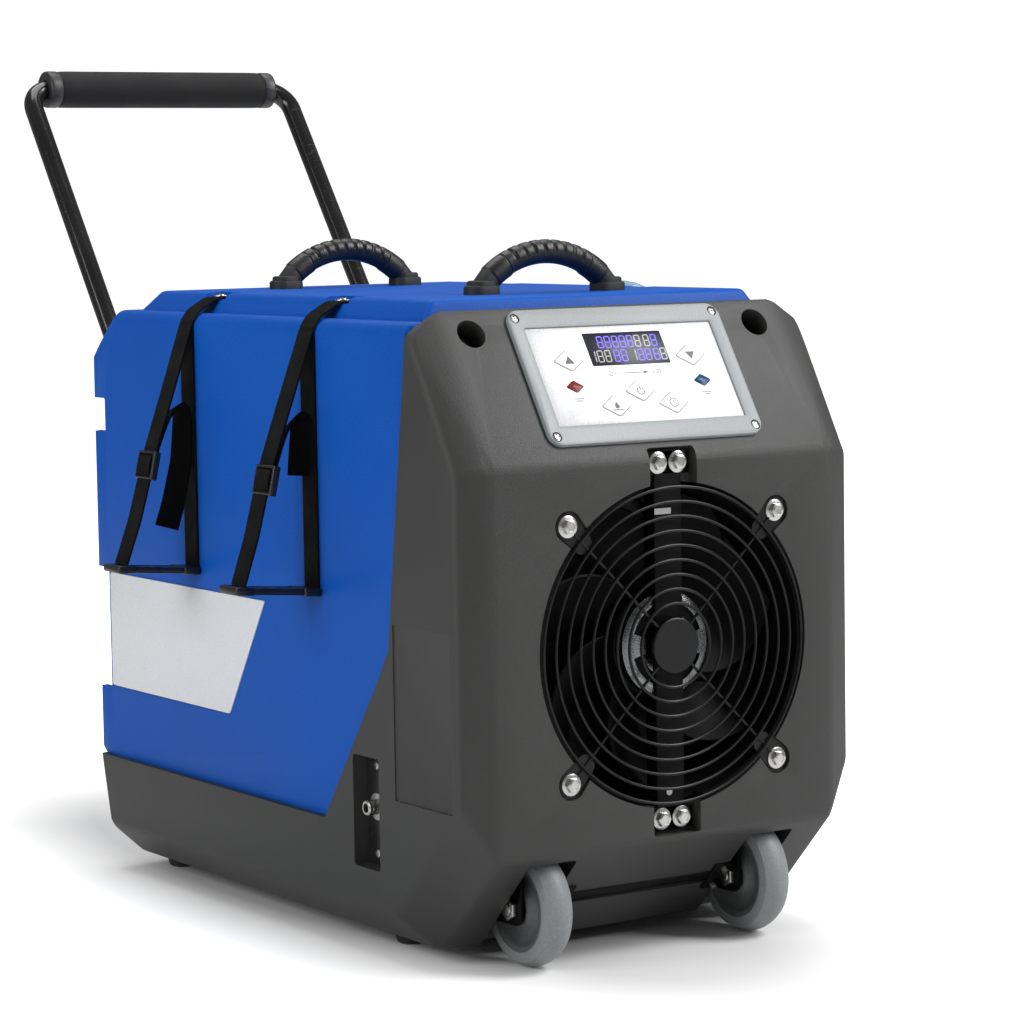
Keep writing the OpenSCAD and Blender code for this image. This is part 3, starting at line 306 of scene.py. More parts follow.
def lathe(profile, place=(0, 0, 0), way=(0, 0, 1), steps=48, rounding=0.0):
    """(radius, height) points, closed into a ring or ending on the axis, turned about `way`."""
    bm = bmesh.new()
    verts = [bm.verts.new((r, 0, h)) for r, h in profile]
    ring = profile[0][0] > 1e-6 or profile[-1][0] > 1e-6
    pairs = list(zip(verts, verts[1:])) + ([(verts[-1], verts[0])] if ring else [])
    edges = [bm.edges.new(pair) for pair in pairs]
    bmesh.ops.spin(bm, geom=verts + edges, cent=(0, 0, 0), axis=(0, 0, 1), dvec=(0, 0, 0), angle=math.tau,
                   steps=steps, use_merge=True)
    bmesh.ops.remove_doubles(bm, verts=bm.verts[:], dist=0.001)
    bmesh.ops.recalc_face_normals(bm, faces=bm.faces[:])
    if rounding:
        bend_over(bm, sharp(bm), rounding, 2)
    bmesh.ops.transform(bm, matrix=toward(place, way), verts=bm.verts[:])
    return bm


def rod(start, end, radius, sides=32, rounding=0.0, top=None):
    """A solid cylinder or cone between two points, with its rims rounded."""
    start, end = Vector(start), Vector(end)
    bm = bmesh.new()
    bmesh.ops.create_cone(bm, cap_ends=True, cap_tris=False, segments=sides, radius1=radius,
                          radius2=radius if top is None else top, depth=(end - start).length)
    if rounding:
        bend_over(bm, [e for e in bm.edges if sum(len(f.verts) > 4 for f in e.link_faces) == 1], rounding, 2)
    bmesh.ops.transform(bm, matrix=toward((start + end) / 2, end - start), verts=bm.verts[:])
    return bm


def block(low, high, rounding=0.0, steps=2):
    """A box from its lowest to its highest corner, with its edges rounded."""
    low, high = Vector(low), Vector(high)
    bm = bmesh.new()
    bmesh.ops.create_cube(bm, size=1.0,
                          matrix=Matrix.Translation((low + high) / 2) @ Matrix.Diagonal((*(high - low), 1)))
    if rounding:
        bend_over(bm, bm.edges[:], rounding, steps)
    return bm


def joined(*meshes):
    """One bmesh that holds all the given ones."""
    first = meshes[0]
    for other in meshes[1:]:
        spare = bpy.data.meshes.new("spare")
        other.to_mesh(spare)
        other.free()
        first.from_mesh(spare)
        bpy.data.meshes.remove(spare)
    return first


def moved(bm, matrix):
    """The bmesh at another place; a mirror image keeps its faces outward."""
    bmesh.ops.transform(bm, matrix=matrix, verts=bm.verts[:])
    if matrix.determinant() < 0:
        bmesh.ops.reverse_faces(bm, faces=bm.faces[:])
    return bm


def copies(bm, matrices):
    """The bmesh repeated at each matrix, in place of itself."""
    made = [moved(bm.copy(), matrix) for matrix in matrices]
    bm.free()
    return joined(*made)


MIRROR = Matrix.Diagonal((-1, 1, 1, 1))
BOTH = (Matrix.Identity(4), MIRROR)


def piece(name, bm, body, paint, stands_for=(), smooth=35.0):
    """Makes the drawn bmesh an object at its place, on its body, with its finish."""
    bmesh.ops.scale(bm, vec=(MM, MM, MM), verts=bm.verts[:])
    bmesh.ops.translate(bm, vec=(0, FACE_Y, 0), verts=bm.verts[:])
    mesh = bpy.data.meshes.new(name)
    bm.to_mesh(mesh)
    bm.free()
    mesh.shade_smooth()
    mesh.set_sharp_from_angle(angle=math.radians(smooth))
    made = bpy.data.objects.new(name, mesh)
    scene.collection.objects.link(made)
    mesh.materials.append(paint)
    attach(made, body)
    if stands_for:
        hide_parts(*stands_for)
    return made


# The coupler: a grey ribbed collar, a black body and a hexagon nut on the tube's end
coupler_plastic = finish_of("coupler_plastic", (0.022, 0.022, 0.024), (0.03, 0.03, 0.032), 30, 1200, 0.0002,
                            (0.35, 0.5))
coupler_start = Vector((COIL_X - HOSE_D / 2, COIL_Y + LEAD_Y, COIL_Z + LEAD_Z - LEAD_R))
COUPLER_WAY = (0, 1, 0)
coupler = joined(
    moved(rod((0, 0, 0), (0, 0, 11), 10.2, 6, 0.8), toward(coupler_start, COUPLER_WAY)),
    lathe([(0, 10), (8.6, 10), (8.6, 13), (9.6, 14), (9.6, 30), (7.5, 31.5), (0, 31.5)], coupler_start,
          COUPLER_WAY, 36),
)
collar = lathe([(0, 31), (11.2, 31), (11.6, 32), (11.6, 36), (10.6, 37.4), (10.6, 41), (11.6, 42.4),
                (11.6, 53), (10.8, 54),
                (7.4, 54), (7.4, 60), (5.2, 60), (5.2, 50), (0, 50)], coupler_start, COUPLER_WAY, 48)
COLLAR_RIBS = 24
for i in range(COLLAR_RIBS):
    rib = block((-0.7, -0.5, 43.4), (0.7, 0.9, 52.4), 0.3, 1)
    turn = Matrix.Rotation(math.tau * i / COLLAR_RIBS, 4, "Z") @ Matrix.Translation((0, 11.2, 0))
    joined(collar, moved(rib, toward(coupler_start, COUPLER_WAY) @ turn))
hose_coupler = piece("hose_coupler_body", coupler, "case", coupler_plastic,
                     ("hose_coupler",))
collar_grey = finish_of("collar_grey", (0.09, 0.094, 0.10), (0.12, 0.125, 0.13), 40, 1500, 0.0002,
                        (0.4, 0.55))
hose_collar = piece("hose_coupler_collar", collar, "case", collar_grey)

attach(drain_hose, "case")
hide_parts("hose_coil", "hose_lead")

# --- Grey front and base shell ----------------------------------------------------------
# One rotomoulded part: the bevelled front with its fan opening and leaning control face,
# and the open tub behind it that carries everything. Matte grey with a fine mould grain,
# and every outer edge is rounded as a rotomould has to be.
HALF_W, BODY_D, BODY_H, BASE_H = 200.0, 655.0, 545.0, 108.0
WALL = 4.0
FOLD_Z, LEAN = 418.0, 81.0
FAN_X, FAN_Z, FAN_R = 8.0, 262.0, 136.0
SEAM = [(86, 605), (80, 540), (117, 264), (130, 243), (227, 108)]
GREY_SIDE = [(-20, -10), (-20, 605)] + SEAM + [(695, 108), (695, -10)]
BEYOND = 230.0
grey_grain = finish_of("grey_shell", (0.032, 0.033, 0.031), (0.037, 0.038, 0.036), 5.0, 1500, 0.00035,
                       (0.40, 0.50), 0.0, Specular_IOR_Level=0.45)


def thickened(corners, by):
    """A flat face through the corners, made solid along the vector `by`."""
    bm = bmesh.new()
    face = bm.faces.new([bm.verts.new(corner) for corner in corners])
    grown = bmesh.ops.extrude_face_region(bm, geom=[face])["geom"]
    bmesh.ops.translate(bm, vec=by, verts=[v for v in grown if isinstance(v, bmesh.types.BMVert)])
    bmesh.ops.recalc_face_normals(bm, faces=bm.faces[:])
    return bm


def prism(outline, x0, x1):
    """A (y, z) outline made solid from x0 to x1."""
    return thickened([(x0, y, z) for y, z in outline], (x1 - x0, 0, 0))


def wrapped(*solids):
    """The tight skin round several solids, with flat parts made single faces."""
    bm = joined(*solids)
    skin = bmesh.ops.convex_hull(bm, input=bm.verts[:], use_existing_faces=False)
    kept = {f for f in skin["geom"] if isinstance(f, bmesh.types.BMFace)}
    bmesh.ops.delete(bm, geom=[f for f in bm.faces if f not in kept], context="FACES_ONLY")
    bmesh.ops.delete(bm, geom=[e for e in bm.edges if not e.link_faces], context="EDGES")
    bmesh.ops.delete(bm, geom=[v for v in bm.verts if not v.link_faces], context="VERTS")
    bmesh.ops.dissolve_limit(bm, angle_limit=math.radians(0.6), verts=bm.verts[:], edges=bm.edges[:])
    bmesh.ops.recalc_face_normals(bm, faces=bm.faces[:])
    return bm


def shrunk(bm, depth):
    """A copy of a convex solid with every face moved in by `depth`."""
    inner = bm.copy()
    inner.normal_update()
    moves = [(v, v.normal * depth * v.calc_shell_factor()) for v in inner.verts]
    for v, move in moves:
        v.co -= move
    return inner


def holder_of(bm, name):
    """The bmesh as an object, for a modifier to work on."""
    mesh = bpy.data.meshes.new(name)
    bm.to_mesh(mesh)
    bm.free()
    made = bpy.data.objects.new(name, mesh)
    scene.collection.objects.link(made)
    return made


def carved(bm, tool, how="DIFFERENCE"):
    """The solid less the tool, or joined to it, or only what both share."""
    body, cutter = holder_of(bm, "carved"), holder_of(tool, "cutter")
    cut = body.modifiers.new("cut", "BOOLEAN")
    cut.operation, cut.solver, cut.object = how, "EXACT", cutter
    shape = bpy.data.meshes.new_from_object(body.evaluated_get(bpy.context.evaluated_depsgraph_get()))
    result = bmesh.new()
    result.from_mesh(shape)
    bpy.data.meshes.remove(shape)
    for old in (body, cutter):
        mesh = old.data
        bpy.data.objects.remove(old)
        bpy.data.meshes.remove(mesh)
    bmesh.ops.remove_doubles(result, verts=result.verts[:], dist=0.002)
    return result


def both(low, high, rounding=0.0):
    """A box and its mirror image, as two solids."""
    return [block(low, high, rounding), moved(block(low, high, rounding), MIRROR)]


lean_turn = math.atan2(LEAN, BODY_H - FOLD_Z)
on_lean = Matrix.Translation((0, 0, FOLD_Z)) @ Matrix.Rotation(math.pi / 2 - lean_turn, 4, "X")
LEAN_L = math.hypot(LEAN, BODY_H - FOLD_Z)

grey_outer = wrapped(
    prism([(0, 100), (0, FOLD_Z), (LEAN, BODY_H), (BODY_D, BODY_H), (BODY_D, BASE_H), (640, 30), (625, 13),
           (84, 13)], -172, 172),
    prism([(12, 146), (12, 411), (LEAN - 5, 524), (BODY_D, 524), (BODY_D, BASE_H), (638, 42), (113, 42)],
          -HALF_W, HALF_W))
grey_inner = shrunk(grey_outer, WALL)
bend_over(grey_outer, sharp(grey_outer, 8), 5.0, 4)

GREY_ROOMS = [
    block((FAN_X - 28, -5, 99), (FAN_X + 28, 16, 431)),
    block((-HALF_W, 132, 71), (-180, 182, 174)),
    *both((84, 0, 13), (140, 108, 112)),
    block((-HALF_W, 642, 104), (HALF_W, BODY_D, 108)),
    *both((193.3, 227, 104), (HALF_W, BODY_D, 108)),
    *both((185, 241, 90), (196.5, 615, 95)),
]
EAR_AT, EAR_DEEP = FAN_R * 0.778, 4.0
EAR_WAYS = [(sx, sz) for sx in (-1, 1) for sz in (-1, 1)]
WELL_R, WELL_SLEEVE_R = 13.0, 17.0
WELL_AT = [(x, LEAN_L - 25) for x in (-145, 145)]
PORT_Y, PORT_Z, PORT_SCREW_Z = 158.0, 126.0, (86.0, 161.0)
PANEL_S, PANEL_HALF_W, PANEL_HALF_H = LEAN_L / 2 + 5, 88.0, 40.0


def ear_rooms(grow, deep):
    """The four pockets round the guard's ears, each running into the fan opening."""
    made = []
    for sx, sz in EAR_WAYS:
        ends = []
        for reach, radius in ((EAR_AT, 13), (FAN_R * 0.66, 10)):
            x, z = FAN_X + sx * reach, FAN_Z + sz * reach
            ends.append(rod((x, -2, z), (x, deep, z), radius + grow, 40))
        made.append(wrapped(*ends))
    return made


GREY_ROOMS += ear_rooms(WALL, EAR_DEEP + WALL)
cavity = grey_inner
for room in GREY_ROOMS:
    cavity = carved(cavity, room)
skin_block = grey_outer.copy()
grey = carved(grey_outer, prism(GREY_SIDE, -BEYOND, BEYOND), "INTERSECT")
grey = carved(grey, cavity)
for x, s in WELL_AT:
    sleeve = moved(rod((x, s, -28), (x, s, 4), WELL_SLEEVE_R, 48), on_lean)
    sleeve = carved(sleeve, skin_block.copy(), "INTERSECT")
    grey = carved(grey, sleeve, "UNION")
skin_block.free()
GREY_CUTS = [
    rod((FAN_X, -20, FAN_Z), (FAN_X, 40, FAN_Z), FAN_R, 128),
    block((FAN_X - 24, -20, 103), (FAN_X + 24, 12, 427), 2.5),
    *both((88, 8, -5), (136, 104, 108), 3),
    block((-205, 136, 75), (-184, 178, 170), 3),
    *(block((x - 1.5, 22, 139), (x + 1.5, 110, 286), 0.7) for x in (-HALF_W, HALF_W)),
    *(moved(rod((x, s, -24), (x, s, 10), WELL_R, 48), on_lean) for x, s in WELL_AT),
    *ear_rooms(0, EAR_DEEP),
    *(rod((FAN_X + sx * EAR_AT, -20, FAN_Z + sz * EAR_AT), (FAN_X + sx * EAR_AT, 30, FAN_Z + sz * EAR_AT),
          4.25, 24)
      for sx, sz in EAR_WAYS),
    moved(block((-PANEL_HALF_W, PANEL_S - PANEL_HALF_H, -20), (PANEL_HALF_W, PANEL_S + PANEL_HALF_H, 20)),
          on_lean),
    rod((-200, PORT_Y, PORT_Z), (-150, PORT_Y, PORT_Z), 8.5),
]
for cut in GREY_CUTS:
    grey = carved(grey, cut)


def middle(e):
    """The middle of an edge."""
    return (e.verts[0].co + e.verts[1].co) / 2


def rims(e):
    """Edges where an opening breaks the outer skin."""
    m = middle(e)
    lean_m = on_lean.inverted() @ m
    on_front = all(abs(v.co.y) < 0.6 for v in e.verts)
    ring = math.hypot(m.x - FAN_X, m.z - FAN_Z) < FAN_R + 32 or abs(m.x - FAN_X) < 26
    wells = abs(lean_m.z) < 0.6 and any(math.hypot(lean_m.x - x, lean_m.y - s) < WELL_R + 2
                                        for x, s in WELL_AT)
    return on_front and ring or wells


bend_over(grey, sharp(grey, 40, rims), 2.0, 3)


def along_seam(e):
    """Edges of the line that parts grey from blue, on the outer skin."""
    m = middle(e)
    if abs(m.x) < 197 and m.z < 530 and m.y < 640:
        return False
    for (y0, z0), (y1, z1) in zip(SEAM, SEAM[1:] + [(695, 108)]):
        run = Vector((y1 - y0, z1 - z0)).normalized()
        if all(abs((v.co.y - y0) * run.y - (v.co.z - z0) * run.x) < 0.3 for v in e.verts):
            return abs(m.x) > 198.5 or m.z > 543 or (m.y > 653 and abs(m.z - 108) < 0.5)
    return False


bend_over(grey, sharp(grey, 40, along_seam), 1.8, 3)
piece("grey_front_shell", grey, "case", grey_grain, ("front_shell",), 28)

# --- Blue rear shell ----------------------------------------------------------------------
# The second rotomoulded part stands in the grey tub and tucks under the grey front. Its
# raised top carries the two carry handles, with four dovetail pockets where the hose
# straps are screwed down, and its rear is open between two side flanges for the filter.
BLUE_HALF, SHOULDER_Z, PLATEAU_Z = 193.0, 534.0, 552.0
REAR_WALL, FLANGE_Y = 640.0, 665.0
STRAP_Y = (250.0, 468.0)
GLAND_X, GLAND_Z = -150.0, 128.0
blue_skin = finish_of("blue_shell", (0.003, 0.082, 0.43), (0.004, 0.094, 0.48), 4.0, 700, 0.00012,
                      (0.38, 0.5), 0.0, Specular_IOR_Level=0.12)


def blue_outline(top):
    """The shell's (y, z) side outline, with its shoulder at height `top`."""
    return [(84, 95), (84, 358), (95, top), (618, top), (664, 491), (FLANGE_Y, 112), (659, 109), (641, 109),
            (641, 95)]


blue_outer = wrapped(prism(blue_outline(SHOULDER_Z), -186, 186),
                     prism(blue_outline(SHOULDER_Z - 8), -BLUE_HALF, BLUE_HALF))
deck = wrapped(block((-173, 97, 524), (173, 600, SHOULDER_Z)),
               block((-161, 103, SHOULDER_Z), (161, 580, PLATEAU_Z)))
blue_inner, deck_inner = shrunk(blue_outer, WALL), shrunk(deck, WALL)
bend_over(blue_outer, sharp(blue_outer, 8), 5.0, 4)
bend_over(deck, sharp(deck, 8, lambda e: middle(e).z > 530), 4.0, 3)
blue = carved(blue_outer, deck, "UNION")


def deck_foot(e):
    """Edges where the raised deck stands on the shoulder."""
    m = middle(e)
    return abs(m.z - SHOULDER_Z) < 0.4 and 60 < m.y < 605 and abs(m.x) < 174


bend_over(blue, sharp(blue, 25, deck_foot), 2.0, 2)
hollow = carved(blue_inner, deck_inner, "UNION")
hollow = carved(hollow, block((-189, 84, 80), (189, 636, 110)), "UNION")
hollow = carved(hollow, block((-230, 636, 0), (230, 700, 620)))
for y in STRAP_Y:
    for floor_block in both((142, y - 22, 542), (161, y + 22, 549)):
        hollow = carved(hollow, floor_block)
blue = carved(blue, hollow)
tucked = [(y - 8, z - 13) for y, z in SEAM[:4]] + [(227, 95), (641, 95), (641, 108.3), (695, 108.3),
                                                   (695, 592)]
blue = carved(blue, prism(tucked, -BEYOND, BEYOND), "INTERSECT")


def running(bm, axis, least, pick=lambda e: True):
    """Edges that run more than `least` along axis 0, 1 or 2 and that `pick` allows."""
    return [e for e in bm.edges if abs(e.verts[0].co[axis] - e.verts[1].co[axis]) > least and pick(e)]


def dovetail(side, y):
    """The strap screw's pocket, open to the side and wider at its inner end."""
    bm = block((146, y - 16, 546), (215, y + 16, 570))
    for v in bm.verts:
        if v.co.x < 150:
            v.co.y = y + (v.co.y - y) * 1.35
    bend_over(bm, running(bm, 2, 5), 3.0, 3)
    return moved(bm, MIRROR) if side < 0 else bm


LABEL = [(638, 284), (336, 284), (405, 175), (638, 175)]


def inset_outline(outline, grow):
    """A (y, z) outline grown outwards by `grow`, corner by corner."""
    made, count = [], len(outline)
    turn = sum(a[0] * b[1] - b[0] * a[1] for a, b in zip(outline, outline[1:] + outline[:1]))
    for i in range(count):
        a, b, c = (Vector(outline[(i + k) % count]) for k in (-1, 0, 1))
        into, out = (b - a).normalized(), (c - b).normalized()
        n1, n2 = Vector((into.y, -into.x)), Vector((out.y, -out.x))
        step = (n1 + n2) / (1 + n1.dot(n2))
        made.append(tuple(b + step * grow * (1 if turn > 0 else -1)))
    return made


BLUE_CUTS = [
    block((-186, REAR_WALL, 88), (186, 715, 605)),
    block((-125, 620, 150), (125, 660, 483)),
    *both((185, REAR_WALL, 418), (215, 715, 450), 2),
    *both((185, REAR_WALL, 172), (215, 715, 288), 2),
    *(dovetail(side, y) for side in (-1, 1) for y in STRAP_Y),
    *(moved(prism(inset_outline(LABEL, 0.5), 191, 200), turn) for turn in BOTH),
    rod((GLAND_X, 610, GLAND_Z), (GLAND_X, 670, GLAND_Z), 8.2),
    carved(block((-205, 131.7, 70.7), (-179.7, 182.3, 174.3)), prism(GREY_SIDE, -BEYOND, BEYOND),
           "INTERSECT"),
    *(moved(rod((x, s, -28.3), (x, s, 4), WELL_SLEEVE_R + 0.3, 48), on_lean) for x, s in WELL_AT),
]
for cut in BLUE_CUTS:
    blue = carved(blue, cut)


def blue_rims(e):
    """Edges of the strap pockets and of the rear flanges."""
    m = middle(e)
    pockets = abs(m.z - PLATEAU_Z) < 0.5 and any(abs(m.y - y) < 25 for y in STRAP_Y) and abs(m.x) > 144
    flanges = m.y > 641 and abs(m.x) > 188 and m.z > 112 and abs(abs(m.x) - BLUE_HALF) < 0.5
    return pockets or flanges


bend_over(blue, sharp(blue, 40, blue_rims), 1.5, 2)
piece("blue_rear_shell", blue, "case", blue_skin, ("rear_shell",), 28)

# --- Blank side plates --------------------------------------------------------------------
# A printed plate is let into each side of the blue shell. It is left blank here, satin
# white with a slight cool tone, and stands a hair proud of its pocket.
label_white = finish_of("label_white", (0.76, 0.79, 0.82), (0.765, 0.795, 0.825), 3.0, 1400, 0.00001,
                        (0.34, 0.37), 0.0)
plate = prism(inset_outline(LABEL, -0.3), 191, 193.4)
bend_over(plate, running(plate, 0, 1), 3.0, 3)
bend_over(plate, sharp(plate, 40, lambda e: all(v.co.x > 193 for v in e.verts)), 0.4, 2)
piece("side_plates", copies(plate, BOTH), "case", label_white, ("label_plates",))

# --- Control panel ------------------------------------------------------------------------
# A grey bezel is screwed to the leaning face over a white overlay with five diamond keys,
# two indicator lenses and a dark display window. The marks are plain symbols.
on_panel = on_lean @ Matrix.Translation((0, PANEL_S, 0))


def slab(width, height, low, high, corner, rounding, centre=(0, 0)):
    """A flat plate on the panel with round corners and a rounded top edge."""
    bm = block((centre[0] - width / 2, centre[1] - height / 2, low),
               (centre[0] + width / 2, centre[1] + height / 2, high))
    bend_over(bm, running(bm, 2, 0.01), corner, 8)
    if rounding:
        bend_over(bm, sharp(bm, 60, lambda e: all(v.co.z > high - 0.01 for v in e.verts)), rounding, 2)
    return bm


def outline_plate(points, low, high):
    """A flat outline on the panel made solid from `low` to `high` above the lean."""
    return thickened([(x, y, low) for x, y in points], (0, 0, high - low))


bezel_satin = finish_of("bezel_satin", (0.27, 0.292, 0.30), (0.30, 0.322, 0.332), 7, 1600, 0.0001,
                        (0.38, 0.5), 0.06)
BEZEL_SCREWS = [(x, y) for x in (-101, 101) for y in (-56, 56)]
bezel = slab(216, 128, 0, 4, 12, 0.9)
bezel = carved(bezel, slab(189.6, 93.1, -1, 8, 1.2, 0))
for x, y in BEZEL_SCREWS:
    bezel = carved(bezel, rod((x, y, 1.2), (x, y, 8), 4.6, 32))
    bezel = carved(bezel, rod((x, y, -1), (x, y, 8), 2.2, 24))
bend_over(bezel, sharp(bezel, 60, lambda e: all(v.co.z > 3.99 for v in e.verts) and abs(middle(e).x) < 96),
          0.8, 2)
piece("control_bezel_frame", moved(bezel, on_panel), "case", bezel_satin, ("control_bezel",))

overlay_white = finish_of("overlay_white", (0.74, 0.755, 0.77), (0.76, 0.775, 0.79), 5, 900, 0.00003,
                          (0.30, 0.42), 0.02, Coat_Weight=0.15)
DISPLAY = (79.0, 31.0, 0.0, 24.0)
KEYS = {"up": (-62, 14.5), "down": (62, 14.5), "power": (-2, -17), "purge": (-31, -30), "timer": (27, -30)}
LENSES = {"left": (-65, -10), "right": (65, -10)}


def diamond(half_x, half_y, centre, low, high, corner):
    """A round-cornered diamond plate, as the keys and the lenses are."""
    bm = outline_plate([(centre[0] - half_x, centre[1]), (centre[0], centre[1] - half_y),
                        (centre[0] + half_x, centre[1]), (centre[0], centre[1] + half_y)], low, high)
    bend_over(bm, running(bm, 2, 0.01), corner, 5)
    return bm


overlay = slab(189, 92.5, 0, 2.5, 0.8, 0.2)
overlay = carved(overlay, slab(DISPLAY[0] + 0.6, DISPLAY[1] + 0.6, -1, 6, 0.5, 0, DISPLAY[2:]))
for centre in KEYS.values():
    overlay = carved(overlay, diamond(15.3, 10.3, centre, -1, 6, 2.4))
for centre in LENSES.values():
    overlay = carved(overlay, diamond(9.3, 6.3, centre, -1, 6, 1.6))
piece("control_overlay", moved(overlay, on_panel), "case", overlay_white, ("control_panel",))

key_white = finish_of("key_white", (0.76, 0.775, 0.79), (0.78, 0.795, 0.81), 8, 1100, 0.00003, (0.28, 0.36),
                      0.02)
ink_black = finish_of("ink_black", (0.02, 0.02, 0.022), (0.03, 0.03, 0.032), 20, 1500, 0.00002, (0.4, 0.5), 0)
ink_grey = finish_of("ink_grey", (0.10, 0.105, 0.11), (0.14, 0.145, 0.15), 20, 1500, 0.00002, (0.4, 0.5), 0)
KEY_TOP, OVERLAY_TOP, INK = 3.2, 2.5, 0.06


def arc_line(centre, radius, start, end, width, count=14):
    """The outline of a curved stroke, in degrees."""
    angles = [math.radians(start + (end - start) * i / count) for i in range(count + 1)]
    outer, inner = ([(centre[0] + r * math.cos(a), centre[1] + r * math.sin(a)) for a in angles]
                    for r in (radius + width / 2, radius - width / 2))
    return outer + inner[::-1]


def stroke(a, b, width):
    """The outline of a straight stroke."""
    a, b = Vector(a), Vector(b)
    side = Vector((a.y - b.y, b.x - a.x)).normalized() * width / 2
    return [tuple(a + side), tuple(a - side), tuple(b - side), tuple(b + side)]


def droplet(x, y, size):
    """The outline of a drop of water: an open circle and a point above it."""
    turns = [math.radians(a) for a in range(-210, 31, 20)]
    return [(x + size * 0.5 * math.cos(a), y + size * 0.5 * math.sin(a))
            for a in turns] + [(x, y + size * 1.05)]


SYMBOLS = {
    "up": [[(-4.8, -3.2), (4.8, -3.2), (0, 4.4)]],
    "down": [[(-4.8, 3.2), (0, -4.4), (4.8, 3.2)]],
    "power": [arc_line((0, -0.4), 3.4, 125, 415, 0.9), stroke((0, 0.2), (0, 4.4), 0.9)],
    "purge": [droplet(0, -0.7, 4.4), stroke((-5.2, -4.0), (5.2, -4.0), 0.8)],
    "timer": [arc_line((0, 0), 4.0, 0, 359.9, 0.8, 28), stroke((0, 0), (0, 2.9), 0.75),
              stroke((0, 0), (2.1, 0), 0.75)],
}
for name, (x, y) in KEYS.items():
    body = "key_%s_cap" % name
    cap = diamond(15, 10, (x, y), 0.2, KEY_TOP, 2.2)
    bend_over(cap, sharp(cap, 60, lambda e: all(v.co.z > KEY_TOP - 0.01 for v in e.verts)), 0.5, 3)
    piece("key_%s_face" % name, moved(cap, on_panel), body, key_white, ("key_" + name,))
    marks = [outline_plate([(x + px, y + py) for px, py in mark], KEY_TOP - 0.02, KEY_TOP + INK)
             for mark in SYMBOLS[name]]
    piece("key_%s_mark" % name, moved(joined(*marks), on_panel), body, ink_black)

# Printed arrow between an inlet and an outlet symbol, short rules under the lenses, and
# the fine line round each key
arrow = [stroke((-14, 0.5), (10, 0.5), 0.9), [(8.6, -1.2), (13.5, 0.5), (8.6, 2.2)]]
for x in (-25.0, 24.0):
    arrow.append(arc_line((x, 0.5), 1.9, 0, 359.9, 0.7, 24))
    arrow += [stroke((x + side * 3.4, 0.5), (x + side * 6.4, 0.5), 0.7) for side in (-1, 1)]
    arrow.append(stroke((x - 1, -0.4), (x + 1, 1.4), 0.6))
RULE_Y = -21.5
for x in (-65, 65):
    arrow += [stroke((x - 5, RULE_Y), (x + 5, RULE_Y), 0.8),
              stroke((x - 3, RULE_Y - 2), (x + 3, RULE_Y - 2), 0.8)]
printed = joined(*(outline_plate(mark, OVERLAY_TOP - 0.02, OVERLAY_TOP + INK) for mark in arrow))
piece("panel_print", moved(printed, on_panel), "case", ink_black)
lines = []
for centre in KEYS.values():
    outer = diamond(16.1, 10.9, centre, OVERLAY_TOP - 0.02, OVERLAY_TOP + INK, 2.6)
    lines.append(carved(outer, diamond(15.5, 10.4, centre, 0, 5, 2.4)))
piece("key_outlines", moved(joined(*lines), on_panel), "case", ink_grey)
# A thin black ring fills the gap between the overlay and the bezel, below the overlay's top: painted shade in
# that gap, not a part of its own
gap_shade_ring = carved(slab(189.6, 93.1, 0.3, 2.2, 1.0, 0), slab(189.05, 92.55, 0, 5, 0.8, 0))
piece("overlay_gap_shade", moved(gap_shade_ring, on_panel), "case", ink_black)

# The two indicator lenses: faceted red and blue diamonds
LENS_TINTS = {"left": ((0.17, 0.006, 0.012), (0.22, 0.01, 0.016)),
              "right": ((0.004, 0.06, 0.17), (0.01, 0.08, 0.22))}
for name, (tint, bright) in LENS_TINTS.items():
    lens_tint = finish_of("lens_" + name, tint, bright, 60, 800, 0.00002, (0.16, 0.26), 0,
                          Specular_IOR_Level=0.25)
    jewel = diamond(9, 6, LENSES[name], -13.4, 3.0, 1.4)
    bend_over(jewel, sharp(jewel, 60, lambda e: all(v.co.z > 2.99 for v in e.verts)), 0.9, 2)
    piece("lens_" + name, moved(jewel, on_panel), "case", lens_tint,
          ("status_lenses",) if name == "left" else ())

# Display window: a dark pane, and two rows of plain seven-bar figures on its face
pane_dark = finish_of("pane_dark", (0.030, 0.030, 0.045), (0.04, 0.04, 0.06), 12, 1200, 0.00001, (0.16, 0.24),
                      0.0, Specular_IOR_Level=0.12)
pane = slab(DISPLAY[0], DISPLAY[1], 0.5, 2.7, 0.4, 0.15, DISPLAY[2:])
piece("display_pane", moved(pane, on_panel), "case", pane_dark, ("display_window",))


def glowing(name, tint, strength, base):
    """A figure's material: the surface finish with its own light."""
    made = finish_of(name, base, base, 30, 900, 0.00001, (0.35, 0.45), 0)
    principled = made.node_tree.nodes["Principled BSDF"]
    principled.inputs["Emission Color"].default_value = (*tint, 1)
    principled.inputs["Emission Strength"].default_value = strength
    return made


lit_violet = glowing("lit_violet", (0.10, 0.05, 0.95), 1.25, (0.05, 0.03, 0.4))
lit_pale = glowing("lit_pale", (0.35, 0.32, 0.34), 0.55, (0.3, 0.3, 0.3))
FIGURE_H, ALL_BARS, SLANT = 10.5, "abcdefg", 0.08
FIGURES_FROM = 2.68


